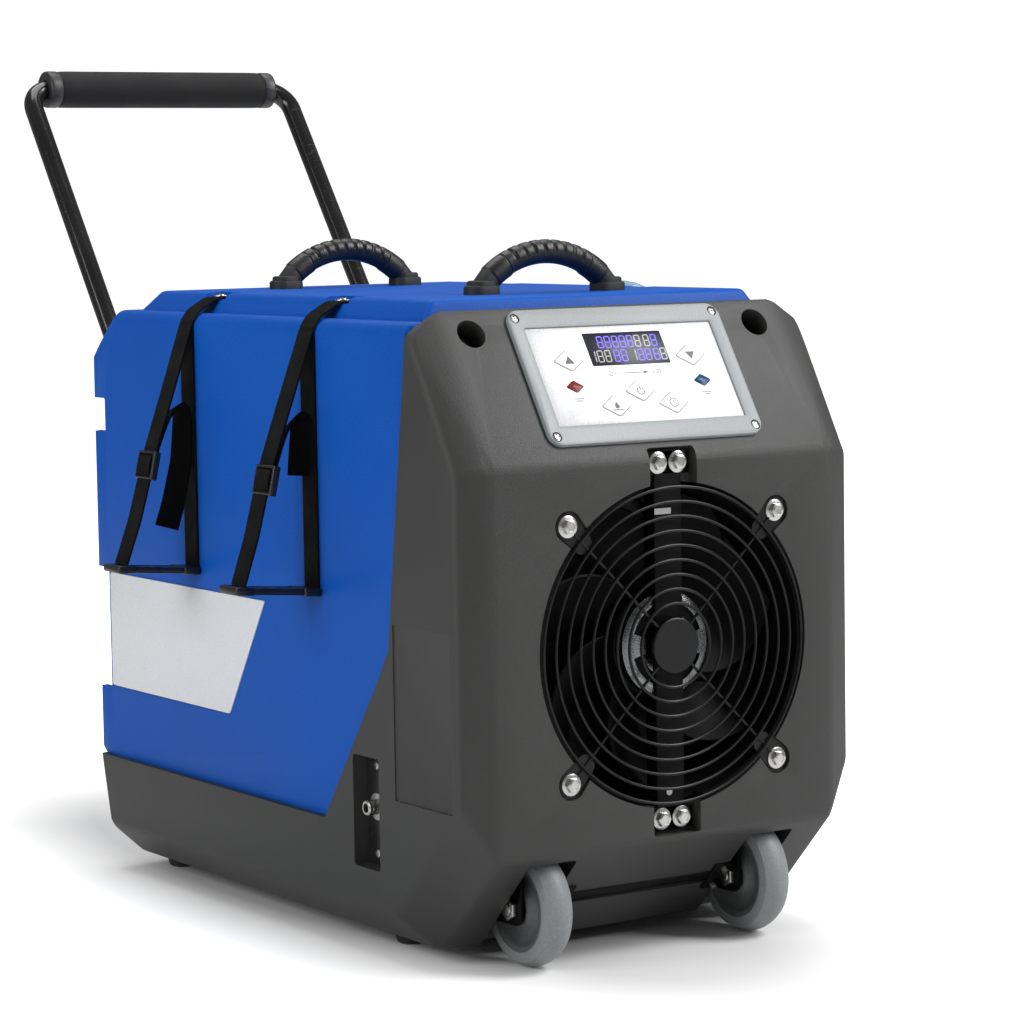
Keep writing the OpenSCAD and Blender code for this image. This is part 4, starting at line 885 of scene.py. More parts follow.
def figure(x, y, bars=ALL_BARS):
    """One slanted seven-bar figure, each bar a thin hexagon."""
    h, w, t = FIGURE_H / 2, FIGURE_H * 0.24, FIGURE_H * 0.085
    ends = {"a": ((-w, h), (w, h)), "g": ((-w, 0), (w, 0)), "d": ((-w, -h), (w, -h)), "f": ((-w, 0), (-w, h)),
            "b": ((w, 0), (w, h)), "e": ((-w, -h), (-w, 0)), "c": ((w, -h), (w, 0))}
    made = []
    for bar in bars:
        (x0, y0), (x1, y1) = ends[bar]
        run = Vector((x1 - x0, y1 - y0)).normalized()
        side, gap, tip = Vector((-run.y, run.x)) * t / 2, run * t * 0.6, run * t * 0.5
        a, b = Vector((x0, y0)) + gap, Vector((x1, y1)) - gap
        shape = [a - tip, a - side, b - side, b + tip, b + side, a + side]
        made.append(outline_plate([(x + p.x + p.y * SLANT, y + p.y) for p in shape], FIGURES_FROM,
                                  FIGURES_FROM + INK))
    return made


# Two rows of figures, some lit and some dim; a 1 has only its two right-hand bars
UPPER, LOWER, FIGURE_STEP = 30.6, 17.2, 7.6
figures = {0: [], 1: []}
for i, lit in enumerate((1, 1, 1, 1, 1, 0)):
    figures[lit] += figure(-24.5 + i * FIGURE_STEP, UPPER)
for i, lit in enumerate((0, 1)):
    figures[lit] += figure(22.8 + i * FIGURE_STEP, UPPER)
for x, lit, bars in ((-36.6, 0, "bc"), (-29, 0, ALL_BARS), (-21.4, 0, ALL_BARS), (-12.4, 1, ALL_BARS),
                     (-4.8, 1, ALL_BARS),
                     (4.6, 0, "bc"), (12.2, 1, ALL_BARS), (19.8, 1, ALL_BARS), (28.4, 1, ALL_BARS),
                     (35.4, 0, ALL_BARS)):
    figures[lit] += figure(x, LOWER, bars)
piece("display_figures_lit", moved(joined(*figures[1]), on_panel), "case", lit_violet)
piece("display_figures_dim", moved(joined(*figures[0]), on_panel), "case", lit_pale)

# --- Screws of the panel, the strap anchors and the drain plate ---------------------------
# Zinc plated pan heads with a cross slot; those of the straps hold the webbing under a
# plain washer, and two bigger socket screws sit deep in the wells of the leaning face.
zinc = finish_of("zinc_plate", (0.50, 0.50, 0.48), (0.62, 0.61, 0.58), 90, 1400, 0.00005, (0.22, 0.38), 0.15,
                 Metallic=1.0)


def pan_screw(place, way, shank, washer=False):
    """A pan head with a cross slot, its shank and, if wanted, a washer under it."""
    head = lathe([(0, -shank), (2, -shank), (2, 0), (4, 0), (4, 1.3), (3.4, 2.2), (2.2, 2.6), (0, 2.7)],
                 steps=28)
    for turn in (0, 90):
        slot = moved(block((-2.6, -0.55, 1.5), (2.6, 0.55, 4)), Matrix.Rotation(math.radians(turn), 4, "Z"))
        head = carved(head, slot)
    if washer:
        head = joined(head, lathe([(2.2, 0), (7, 0), (7, 1.2), (2.2, 1.2)], steps=40, rounding=0.25))
    return moved(head, toward(place, way))


lean_up = on_lean.to_3x3() @ Vector((0, 0, 1))
screws = [pan_screw(on_panel @ Vector((x, y, 1.4)), lean_up, 8.6) for x, y in BEZEL_SCREWS]
screws += [pan_screw((side * 158, y, 548.2), (0, 0, 1), 10, True) for side in (-1, 1) for y in STRAP_Y]
screws += [pan_screw((-187, PORT_Y, z), (-1, 0, 0), 10) for z in PORT_SCREW_Z]
piece("pan_head_screws", joined(*screws), "case", zinc, ("pan_screws",))
socket = carved(rod((0, 0, 0), (0, 0, 6), 7, 40, 0.6), rod((0, 0, 3), (0, 0, 8), 3.5, 6))
sockets = copies(socket, [on_lean @ Matrix.Translation((x, s, -24)) for x, s in WELL_AT])
piece("deep_socket_screws", sockets, "case", zinc, ("deep_screws",))
board_green = finish_of("board_green", (0.015, 0.11, 0.045), (0.02, 0.15, 0.06), 60, 900, 0.0001, (0.3, 0.45))


def carry(node, paint):
    """A CAD node whose shape is right keeps its mesh and takes this finish."""
    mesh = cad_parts[node].data
    mesh.materials.clear()
    mesh.materials.append(paint)


carry("control_board", board_green)

# --- Fan: shroud, motor, impeller, strut and ring guard -----------------------------------
# The motor hangs on a folded steel strut whose ends are bolted into two notches of the
# grey shell. A seven-bladed impeller turns in a deep black shroud behind it, and a welded
# guard of nine rings is held by a bolt through each of its four ears.
guard_black = finish_of("guard_black", (0.004, 0.004, 0.0045), (0.006, 0.006, 0.0065), 30, 1300, 0.0001,
                        (0.34, 0.46), 0.0, Specular_IOR_Level=0.3)
strut_black = finish_of("strut_black", (0.0022, 0.0022, 0.0024), (0.0034, 0.0034, 0.0036), 18, 1100, 0.0002,
                        (0.42, 0.58), 0.0, Specular_IOR_Level=0.12)
shroud_black = finish_of("shroud_black", (0.004, 0.004, 0.0045), (0.006, 0.006, 0.0065), 14, 900, 0.0002,
                         (0.55, 0.7), 0.02, Specular_IOR_Level=0.1)
blade_black = finish_of("blade_black", (0.005, 0.005, 0.0055), (0.008, 0.008, 0.009), 20, 1000, 0.0001,
                        (0.42, 0.55), 0.0,
                         Specular_IOR_Level=0.15)
cast_silver = finish_of("cast_silver", (0.16, 0.165, 0.17), (0.30, 0.31, 0.32), 40, 700, 0.0003, (0.14, 0.3),
                        0.0, Metallic=1.0)
AHEAD = (0, 1, 0)
FAN_AT = Vector((FAN_X, 0, FAN_Z))
WIRE, WIRE_SIDES = 2.6, 10
RINGS, FIRST_RING = 9, 35.0
FLANGE_BOLT_D, STRUT_BOLT_Z = 8.0, (116.0, 414.0)
ring_step = (FAN_R - 4 - FIRST_RING) / (RINGS - 1)


def wire_ring(radius):
    """One ring of the guard."""
    turns = [math.tau * i / WIRE_SIDES for i in range(WIRE_SIDES)]
    return lathe([(radius + WIRE / 2 * math.cos(a), WIRE / 2 * math.sin(a)) for a in turns], FAN_AT, AHEAD,
                 96)


def behind(point, depth):
    """The point moved back from the front face by `depth`."""
    return point + Vector((0, depth, 0))


guard = [wire_ring(FIRST_RING + i * ring_step) for i in range(RINGS)]
guard.append(lathe([(0, -1.3), (22, -1.3), (23, -0.6), (23, 2.3), (0, 2.3)], FAN_AT, AHEAD, 64))
for sx, sz in EAR_WAYS:
    out = Vector((sx, 0, sz)).normalized()
    spoke = behind(FAN_AT, WIRE * 0.8)
    guard.append(rod(spoke + out * 18, spoke + out * 143, WIRE / 2, 12))
    at_ear, at_ring = FAN_AT + out * EAR_AT * math.sqrt(2), FAN_AT + out * 129
    guard.append(wrapped(rod(behind(at_ear, 2), behind(at_ear, 4), 11, 36),
                         rod(behind(at_ring, 2), behind(at_ring, 4), 9.2, 36)))
piece("ring_guard", joined(*guard), "case", guard_black, ("fan_guard",))


def hex_bolt(place, way, d, shank, washer):
    """A hexagon flange bolt with a chamfered head; the head's seat is at `place`."""
    head = rod((0, 0, 0.14 * d), (0, 0, d * 0.75), d * 0.82, 6)
    cap = lathe([(0, -1), (d * 1.0, -1), (d * 1.0, d * 0.5), (d * 0.62, d * 0.76), (0, d * 0.76)], steps=36)
    head = carved(head, cap, "INTERSECT")
    seat = lathe([(0, -shank), (d * 0.47, -shank), (d * 0.5, -shank + 1), (d * 0.5, 0), (washer, 0),
                  (washer, d * 0.1), (d * 0.95, d * 0.18), (0, d * 0.18)], steps=36)
    dimple = lathe([(0, d * 0.7), (d * 0.42, d * 0.7), (d * 0.46, d * 0.8), (0, d * 0.8)], steps=24)
    return moved(joined(carved(head, dimple), seat), toward(place, way))


bolts = [hex_bolt(FAN_AT + Vector((sx * EAR_AT, 2, sz * EAR_AT)), (0, -1, 0), FLANGE_BOLT_D, 22, 9.2)
         for sx, sz in EAR_WAYS]
bolts += [hex_bolt(Vector((FAN_X + x, 9, z)), (0, -1, 0), FLANGE_BOLT_D, 18, 9.2)
          for x in (-10, 10) for z in STRUT_BOLT_Z]
piece("flange_head_bolts", joined(*bolts), "case", zinc, ("flange_bolts",))

strut = [block((FAN_X - 14, 9, 105), (FAN_X + 14, 12, 425), 0.8)]
strut += [block((FAN_X - 22, 9, z - 10), (FAN_X + 22, 12, z + 10), 0.8) for z in STRUT_BOLT_Z]
for x in (-14, 12):
    strut += [block((FAN_X + x, 11, z0), (FAN_X + x + 2, 24, z1), 0.6) for z0, z1 in ((132, 214), (310, 396))]
piece("motor_strut", joined(*strut), "case", strut_black, ("fan_strut",))
tag_silver = finish_of("tag_silver", (0.45, 0.46, 0.47), (0.52, 0.53, 0.54), 50, 900, 0.00003, (0.35, 0.45),
                       0.05)
tag = block((FAN_X - 13.8, 8.7, 371), (FAN_X + 3, 9.02, 376), 0.1, 1)
tag = joined(tag, rod((FAN_X - 2, 8.2, 138), (FAN_X - 2, 9.1, 138), 3, 20, 0.3))
piece("blank_tag", tag, "case", tag_silver)
carry("fan_shroud", shroud_black)

motor = lathe([(0, 12), (40, 12), (44, 14.5), (44, 20), (37, 22), (37, 58), (4, 58), (4, 77), (0, 77)],
              FAN_AT, AHEAD, 72)
for start in (18, 108, 198, 288):
    inner = arc_line((0, 0), 31, start, start + 56, 9, 12)
    slot = outline_plate(inner, 0, 8)
    motor = carved(motor, moved(slot, toward(FAN_AT + Vector((0, 10, 0)), AHEAD)))
piece("motor_housing", motor, "case", cast_silver, ("motor_stator",))
core = lathe([(0, 15), (36, 15), (36, 19), (0, 19)], FAN_AT, AHEAD, 48)
for a in (0.6, 2.17, 3.74, 5.31):
    at_stud = FAN_AT + Vector((19 * math.cos(a), 0, 19 * math.sin(a)))
    core = joined(core, rod(behind(at_stud, 10.5), behind(at_stud, 12.5), 3.4, 6, 0.3))
piece("motor_core", core, "case", strut_black)

# Each blade is wider and flatter towards its tip, swept back and a little cupped
HUB_R, TIP_R, BLADES = 46.0, 127.5, 7
BLADE_MID_Y, BLADE_T, CUPPED = 49.0, 2.2, 3.5
blade = bmesh.new()
bmesh.ops.create_grid(blade, x_segments=14, y_segments=8, size=1.0)
for v in blade.verts:
    along, across = (v.co.x + 1) / 2, v.co.y
    radius = HUB_R - 1.5 + along * (TIP_R - HUB_R + 1.5)
    chord = 58 + 26 * along - 14 * along * along
    pitch = math.radians(36 - 10 * along)
    sweep = 0.55 * along * along - 0.12
    angle = sweep + across * chord / 2 * math.cos(pitch) / radius
    lift = across * chord / 2 * math.sin(pitch) + CUPPED * (1 - across * across)
    v.co = Vector((radius * math.cos(angle), BLADE_MID_Y + lift, radius * math.sin(angle)))
bmesh.ops.recalc_face_normals(blade, faces=blade.faces[:])
bmesh.ops.solidify(blade, geom=blade.faces[:], thickness=BLADE_T)
blade_turns = [Matrix.Rotation(math.tau * i / BLADES, 4, "Y") for i in range(BLADES)]
blades = copies(blade, [Matrix.Translation(FAN_AT) @ turn for turn in blade_turns])
rotor = lathe([(41, 24), (45, 24), (46, 25), (46, 73), (45, 74), (4.05, 74), (4.05, 68), (41, 68)], FAN_AT,
              AHEAD, 72)
piece("impeller", joined(rotor, blades), "fan", blade_black, ("fan_impeller",), 40)

# Fine black wire screen across the back of the shroud
screen_black = finish_of("screen_black", (0.004, 0.004, 0.004), (0.006, 0.006, 0.006), 30, 1200, 0.0001,
                         (0.5, 0.6), 0)
tree = screen_black.node_tree
place_in = tree.nodes.new("ShaderNodeTexCoord").outputs["Object"]
wires = [put(tree, "ShaderNodeTexWave", {"bands_direction": way}, Vector=place_in, Scale=150.0)
         for way in ("X", "Z")]
both_wires = put(tree, "ShaderNodeMath", {"operation": "MAXIMUM"}, _0=wires[0].outputs["Fac"],
                 _1=wires[1].outputs["Fac"])
solid = put(tree, "ShaderNodeMath", {"operation": "GREATER_THAN"}, _0=both_wires.outputs[0], _1=0.55)
tree.links.new(solid.outputs[0], tree.nodes["Principled BSDF"].inputs["Alpha"])
screen = lathe([(8, 74.6), (130.6, 74.6), (130.6, 75.4), (8, 75.4)], FAN_AT, AHEAD, 72)
piece("rear_screen", screen, "case", screen_black)

# --- Wheels, forks and feet ---------------------------------------------------------------
# Two fixed casters with grey rubber tyres on moulded hubs, each on a 10 mm axle bolt in a
# black steel fork, and four rubber feet that carry the case when it stands.
tyre_rubber = finish_of("tyre_rubber", (0.215, 0.224, 0.229), (0.245, 0.255, 0.26), 12, 900, 0.00015,
                        (0.42, 0.56), 0.08)
hub_grey = finish_of("hub_grey", (0.085, 0.088, 0.09), (0.11, 0.114, 0.117), 20, 1100, 0.0002, (0.38, 0.5),
                     0.06)
rubber_black = finish_of("rubber_black", (0.010, 0.010, 0.0105), (0.015, 0.015, 0.016), 24, 1400, 0.0003,
                         (0.5, 0.68), 0.05)
AXLE_Y, AXLE_Z, WHEEL_X = 45.0, 50.5, 112.0
AXLE_R, CHEEK_X = 5.0, 16.0
FRONT_SLOPE = math.atan2(-87, 84)
for name, side in (("left", -1), ("right", 1)):
    body = "wheel_" + name
    at = Vector((side * WHEEL_X, AXLE_Y, AXLE_Z))
    crown = [(50 - 0.031 * h * h, h) for h in (-10, -7, -4, -1, 0, 1, 4, 7, 10)]
    tyre = lathe([(37, -13), (43, -13), (45.6, -12.2)] + crown + [(45.6, 12.2), (43, 13), (37, 13)], at,
                 (1, 0, 0), 96)
    piece("tyre_" + name + "_tread", tyre, body, tyre_rubber, ("tyre_" + name,), 24)
    dish = [(13, 12), (15.5, 12), (17, 11), (19.5, 7.2), (24, 6.4), (28, 7.2), (31, 9), (32.2, 11.4),
            (34, 12), (37, 12)]
    wheel = lathe([(r, -h) for r, h in dish] + dish[::-1], at, (1, 0, 0), 96)
    piece("wheel_hub_" + name, wheel, body, hub_grey, ("hub_" + name,), 50)
    race = lathe([(5.05, -12), (7.4, -12), (7.6, -11.4), (10.6, -11.4), (10.8, -12), (13, -12), (13, 12),
                  (10.8, 12), (10.6, 11.4), (7.6, 11.4), (7.4, 12), (5.05, 12)], at, (1, 0, 0), 48)
    piece("bearing_race_" + name, race, body, zinc, ("bearing_" + name,))
fork_parts, axle_parts, nut_parts = [], [], []
for side in (-1, 1):
    x = side * WHEEL_X
    for d in (-1, 1):
        cheek = block((x + d * CHEEK_X - 1.5, 31, 36.5), (x + d * CHEEK_X + 1.5, 79, 107.5))
        bend_over(cheek, running(cheek, 0, 2, lambda e: middle(e).z < 40), 10, 6)
        bend_over(cheek, sharp(cheek, 60, lambda e: abs(e.verts[0].co.x - e.verts[1].co.x) < 0.1), 0.5, 2)
        fork_parts.append(carved(cheek, rod((x - 30, AXLE_Y, AXLE_Z), (x + 30, AXLE_Y, AXLE_Z), AXLE_R, 28)))
    fork_parts.append(block((x - 17.5, 31, 104.5), (x + 17.5, 79, 107.5), 0.5))
    axle_parts.append(rod((x - 23.5, AXLE_Y, AXLE_Z), (x + 17.5, AXLE_Y, AXLE_Z), AXLE_R, 32, 0.6))
    axle_parts.append(hex_bolt(Vector((x + 17.5, AXLE_Y, AXLE_Z)), (1, 0, 0), 6.6, 0.5, 8.6))
    nut = rod((x - 22.5, AXLE_Y, AXLE_Z), (x - 17.6, AXLE_Y, AXLE_Z), 9.5, 6, 0.7)
    nut_parts.append(carved(nut, rod((x - 30, AXLE_Y, AXLE_Z), (x - 10, AXLE_Y, AXLE_Z), AXLE_R, 28)))
# Cross member under the sloping front, with a bolted plate at each fork
slope = Matrix.Translation((0, 44.5, 52.5)) @ Matrix.Rotation(FRONT_SLOPE, 4, "X")
BRACE_HALF, BRACE_BOLT_X = 94.0, 82.0
fork_parts.append(moved(block((-BRACE_HALF, -6, 0), (BRACE_HALF, 7, 3), 0.6), slope))
fork_parts.append(moved(block((-BRACE_HALF, 4.5, -1), (BRACE_HALF, 7, 7), 0.6), slope))
fork_parts += [moved(block((x - 10, -16, -1), (x + 10, 18, 2.6), 1), slope)
               for x in (-BRACE_BOLT_X, BRACE_BOLT_X)]
axle_parts += [hex_bolt(slope @ Vector((x, y, 2.6)), slope.to_3x3() @ Vector((0, 0, 1)), 5.5, 8, 6.2)
               for x in (-BRACE_BOLT_X, BRACE_BOLT_X) for y in (-11, 12.5)]
piece("caster_forks", joined(*fork_parts), "case", strut_black, ("wheel_forks",))
piece("axle_hex_bolts", joined(*axle_parts), "case", zinc, ("axle_bolts",))
piece("axle_hex_nuts", joined(*nut_parts), "case", zinc, ("axle_nuts",))
foot = lathe([(0, 0), (11, 0), (13, 1.4), (16, 12), (16, 13), (0, 13)], steps=40)
feet = copies(foot, [Matrix.Translation((x, y, 0)) for x in (-142, 142) for y in (182, 600)])
piece("round_feet", feet, "case", rubber_black, ("rubber_feet",))

# --- Pull handle --------------------------------------------------------------------------
# A bent steel tube that folds about two pins in brackets on the rear wall, with a foam
# grip between two end collars. The tube and grip are drawn upright from the pivot and
# then leaned back.
gloss_black = finish_of("gloss_black", (0.006, 0.006, 0.0065), (0.009, 0.009, 0.01), 9, 900, 0.00004,
                        (0.13, 0.22), 0.05, Coat_Weight=0.35)
foam_black = finish_of("foam_black", (0.006, 0.006, 0.0065), (0.009, 0.009, 0.0095), 26, 1900, 0.0005,
                       (0.55, 0.7), 0.0, Specular_IOR_Level=0.3)
PIVOT_Y, PIVOT_Z, ARM_X, REACH, BEND = 656.0, 437.0, 149.0, 387.0, 26.0
ARM_R, PIN_R = 9.5, 5.0
leaned = Matrix.Translation((0, PIVOT_Y, PIVOT_Z)) @ Matrix.Rotation(math.radians(-36), 4, "X")
grip_half = ARM_X - 19


def arm_line(sides=10):
    """The tube's line from the left pivot over the top to the right one."""
    line = [Vector((-ARM_X, 0, 0)), Vector((-ARM_X, 0, REACH * 0.5))]
    for i in range(sides + 1):
        a = math.radians(180 - 90 * i / sides)
        line.append(Vector((-ARM_X + BEND + BEND * math.cos(a), 0, REACH - BEND + BEND * math.sin(a))))
    return line + [Vector((-p.x, 0, p.z)) for p in reversed(line)]


def skinned(bm, rings):
    """Faces from each ring of verts to the next, in order, with both ends closed."""
    faces = []
    for a, b in zip(rings, rings[1:]):
        for k in range(len(a)):
            n = (k + 1) % len(a)
            faces.append(bm.faces.new((a[k], a[n], b[n], b[k])))
    bm.faces.new(rings[0])
    bm.faces.new(rings[-1])
    return faces


def tube_along(line, radius, sides=28):
    """A round tube's outside swept along a line of points; every ring lies across the line."""
    bm = bmesh.new()
    turns = [math.tau * k / sides for k in range(sides)]
    rings = []
    for i, at in enumerate(line):
        ahead = (line[min(i + 1, len(line) - 1)] - line[max(i - 1, 0)]).normalized()
        side = ahead.cross(Vector((0, 1, 0))).normalized()
        up = side.cross(ahead)
        rings.append([bm.verts.new(at + side * radius * math.cos(t) + up * radius * math.sin(t))
                      for t in turns])
    skinned(bm, rings)
    bmesh.ops.recalc_face_normals(bm, faces=bm.faces[:])
    return bm


tube = tube_along(arm_line(), ARM_R)
eyes = [lathe([(5.05, -9.8), (11.4, -9.8), (12, -9.2), (12, 9.2), (11.4, 9.8), (5.05, 9.8)], (x, 0, 0),
              (1, 0, 0), 40)
        for x in (-ARM_X, ARM_X)]
for x in (-ARM_X, ARM_X):
    tube = carved(tube, rod((x - 30, 0, 0), (x + 30, 0, 0), 11, 32))
piece("bent_tube", moved(joined(tube, *eyes), leaned), "pull_handle", gloss_black,
      ("handle_tube",), 50)
foam_end = [(9.6, 13), (17.4, 13), (18.3, 16), (18.5, 24)]
foam_outline = [(r, h - grip_half) for r, h in foam_end] + [(r, grip_half - h) for r, h in reversed(foam_end)]
foam = lathe(foam_outline, (0, 0, REACH), (1, 0, 0), 64)
foam_grip = piece("foam_grip", moved(foam, leaned), "pull_handle", foam_black, ("handle_grip",), 50)
collar_outline = [(9.6, 0), (16.6, 0), (18.2, 1.2), (18.5, 3), (18.5, 11.6), (17.8, 12.8), (9.6, 12.8)]
collars = [lathe(collar_outline, (side * grip_half, 0, REACH), (-side, 0, 0), 48) for side in (-1, 1)]
piece("grip_collars", moved(joined(*collars), leaned), "pull_handle", coupler_plastic, (),
      50)

brackets, pins, rear_heads = [], [], []
for side in (-1, 1):
    x = side * ARM_X
    plate = block((x - 13.3, 640, PIVOT_Z - 36), (x + 13.3, 643, PIVOT_Z + 36), 1.2)
    for d in (-1, 1):
        ear = block((x + d * 11.8 - 1.5, 640, PIVOT_Z - 16), (x + d * 11.8 + 1.5, 671, PIVOT_Z + 16))
        bend_over(ear, running(ear, 0, 1, lambda e: middle(e).y > 670), 10, 5)
        bend_over(ear, sharp(ear, 60, lambda e: abs(e.verts[0].co.x - e.verts[1].co.x) < 0.1
                             and middle(e).y > 645), 0.5, 2)
        brackets.append(carved(ear, rod((x - 40, PIVOT_Y, PIVOT_Z), (x + 40, PIVOT_Y, PIVOT_Z), PIN_R, 32)))
        pins.append(lathe([(0, -0.2), (8, -0.2), (8, 1.6), (6.8, 3), (0, 3)],
                          (x + d * 13.3, PIVOT_Y, PIVOT_Z), (d, 0, 0), 36))
    brackets.append(plate)
    pins.append(rod((x - 13.3, PIVOT_Y, PIVOT_Z), (x + 13.3, PIVOT_Y, PIVOT_Z), PIN_R, 32))
    for dz in (-26, 26):
        rear_heads.append(lathe([(0, -12), (3, -12), (3, 0), (5.5, 0), (5.5, 1.4), (4.2, 3), (2.2, 3.5),
                                 (1.8, 2), (0, 2)],
                                (x, 643, PIVOT_Z + dz), AHEAD, 36))
    rear_heads.append(lathe([(0, -10), (3, -10), (3, 0), (6.5, 0), (6.3, 1.6), (5.2, 3.2), (3.2, 4.5),
                             (0, 5)],
                            (side * 186, 640, 434), AHEAD, 36))
piece("hinge_brackets", joined(*brackets), "case", strut_black, ("handle_brackets",))
piece("hinge_pins", joined(*pins), "case", zinc, ("pivot_pins",))
piece("rear_button_screws", joined(*rear_heads), "case", zinc, ("rear_screws",), 50)

# --- Carry handles ------------------------------------------------------------------------
# Each is an arch of webbing in a soft ribbed sleeve: rings stand proud of its outer half,
# its inner half is smooth, and a plain collar and a dark boot finish both ends.
sleeve_black = finish_of("sleeve_black", (0.008, 0.008, 0.0085), (0.012, 0.012, 0.0125), 18, 1500, 0.0002,
                         (0.28, 0.42), 0.04)
ARCH_R, ARCH_Z, TUBE_R = 87.96, 499.04, 11.0
HANDLE_Y = (174.0, 511.0)
ARCH_FROM, ARCH_TO, ARCH_STEPS, SLEEVE_SIDES = math.radians(49.5), math.radians(130.5), 168, 36
RIBS_FROM, RIB_COUNT = 0.15, 12.5


def arch_sleeve(y):
    """The sleeve's skin; across its section, angle 0 points away from the arch's centre."""
    bm = bmesh.new()
    rings = []
    for i in range(ARCH_STEPS + 1):
        along = i / ARCH_STEPS
        a = ARCH_FROM + (ARCH_TO - ARCH_FROM) * along
        from_end = min(along, 1 - along)
        phase = (along - 0.5) * RIB_COUNT
        rib = math.sqrt(min(abs(phase % 1 - 0.5) / 0.22, 1)) if RIBS_FROM < from_end else 0
        fade = min(max((from_end - RIBS_FROM) / 0.02, 0), 1)
        end = 0.0 if from_end > 0.012 else 0.9 * (1 - from_end / 0.012)
        ring = []
        for k in range(SLEEVE_SIDES):
            t = math.tau * k / SLEEVE_SIDES
            outer = min(max((math.cos(t) + 0.25) / 0.5, 0), 1)
            size = TUBE_R - 0.1 - 1.9 * fade * outer * (1 - rib) - 0.9 * fade * (1 - outer) - end
            # A groove parts the plain collar from the ribs
            if 0.145 < from_end < 0.152:
                size -= 0.8
            out, wide = size * math.cos(t), size * 0.98 * math.sin(t)
            ring.append(bm.verts.new(((ARCH_R + out) * math.cos(a), y + wide,
                                      ARCH_Z + (ARCH_R + out) * math.sin(a))))
        rings.append(ring)
    skinned(bm, rings)
    bmesh.ops.recalc_face_normals(bm, faces=bm.faces[:])
    return bm


sleeves = joined(*(arch_sleeve(y) for y in HANDLE_Y))
piece("ribbed_sleeves", sleeves, "case", sleeve_black, ("carry_grips",), 50)
BOOT_X = 65.3
boots = []
for y in HANDLE_Y:
    for side in (-1, 1):
        boot = slab(31, 25, 0, 8, 11, 2.5)
        neck = slab(25, 22.5, 5, 12, 10, 2.0)
        boots.append(moved(joined(boot, neck), Matrix.Translation((side * BOOT_X, y, PLATEAU_Z))))
        lean = Vector((-side * 0.62, 0, 0.78)).normalized()
        foot_at = Vector((side * BOOT_X, y, 556))
        boots.append(rod(foot_at, foot_at + lean * 17, 10.4, 32, 1, 9.8))
piece("sleeve_boots", joined(*boots), "case", rubber_black, ("carry_boots",), 40)

# --- Hose straps --------------------------------------------------------------------------
# Two on each side: webbing screwed to the top, one run down the case and one over the
# ladder-lock buckle to the far end of a plastic bar. On the left, where no hose is stowed,
# the free tails hang behind the buckles.
webbing = finish_of("webbing", (0.0035, 0.0035, 0.0042), (0.005, 0.005, 0.006), 40, 1300, 0.0002,
                    (0.62, 0.78), 0.0, Specular_IOR_Level=0.12)
tree = webbing.node_tree
cloth_uv = put(tree, "ShaderNodeTexCoord").outputs["UV"]
weave_space = put(tree, "ShaderNodeMapping", None, Vector=cloth_uv, Scale=(30.0, 1.0, 1.0))
twill = put(tree, "ShaderNodeTexWave", {"bands_direction": "DIAGONAL"}, Vector=weave_space.outputs[0],
            Scale=1.6, Distortion=0.6)
weave = put(tree, "ShaderNodeBump", None, Strength=0.9, Distance=0.0006, Height=twill.outputs["Fac"])
tree.links.new(weave.outputs[0], tree.nodes["Principled BSDF"].inputs["Normal"])
bar_black = finish_of("bar_black", (0.011, 0.011, 0.0115), (0.016, 0.016, 0.017), 22, 1000, 0.0002,
                      (0.24, 0.36), 0.05)
STRAP_W, STRAP_T = 24.0, 2.0
# The webbing's section, as shares of its half width and of its thickness
STRAP_SECTION = [(-1, -0.25), (-0.96, -0.5), (0.96, -0.5), (1, -0.25), (1, 0.25), (0.96, 0.5), (-0.96, 0.5),
                 (-1, 0.25)]


def eased(line, steps=7, reach=0.42):
    """Rounds the corners of a line of (x, z) points."""
    out = [line[0]]
    for a, b, c in zip(line, line[1:], line[2:]):
        a, b, c = Vector(a), Vector(b), Vector(c)
        start, end = b.lerp(a, min(reach, 8 / (b - a).length)), b.lerp(c, min(reach, 8 / (c - b).length))
        out += [tuple(start.lerp(b, t).lerp(b.lerp(end, t), t))
                for t in (i / steps for i in range(steps + 1))]
    return out + [line[-1]]


def band(line, y, width=STRAP_W, thick=STRAP_T, sway=lambda t: 0.0, turn=lambda t: 0.0):
    """Webbing along (x, z) points at the given y, with turned-over edges and its own UVs."""
    bm = bmesh.new()
    layer = bm.loops.layers.uv.new("weave")
    far, rings, runs = 0.0, [], []
    total = sum((Vector(b) - Vector(a)).length for a, b in zip(line, line[1:]))
    for i, p in enumerate(line):
        if i:
            far += (Vector(p) - Vector(line[i - 1])).length
        a, c = Vector(line[max(i - 1, 0)]), Vector(line[min(i + 1, len(line) - 1)])
        ahead = (c - a).normalized()
        normal = Vector((ahead.y, 0, -ahead.x))
        t = far / total
        twist = turn(t)
        wide = Vector((0, 1, 0)) * math.cos(twist) + normal * math.sin(twist)
        thin = normal * math.cos(twist) - Vector((0, 1, 0)) * math.sin(twist)
        centre = Vector((p[0], y + sway(t), p[1]))
        rings.append([bm.verts.new(centre + wide * (u * width / 2) + thin * (v * thick))
                      for u, v in STRAP_SECTION])
        runs.append(far)
    count = len(STRAP_SECTION)
    for j, face in enumerate(skinned(bm, rings)):
        i, k = divmod(j, count)
        u0, u1 = STRAP_SECTION[k][0], STRAP_SECTION[(k + 1) % count][0]
        for loop, (u, v) in zip(face.loops,
                                ((u0, runs[i]), (u1, runs[i]), (u1, runs[i + 1]), (u0, runs[i + 1]))):
            loop[layer].uv = (u * width / 20, v / 10)
    bmesh.ops.recalc_face_normals(bm, faces=bm.faces[:])
    return bm


def sampled(line, step=6.0):
    """Adds points to a line so that no stretch is longer than `step`."""
    out = [line[0]]
    for a, b in zip(line, line[1:]):
        count = max(1, math.ceil((Vector(b) - Vector(a)).length / step))
        out += [tuple(Vector(a).lerp(Vector(b), i / count)) for i in range(1, count + 1)]
    return out


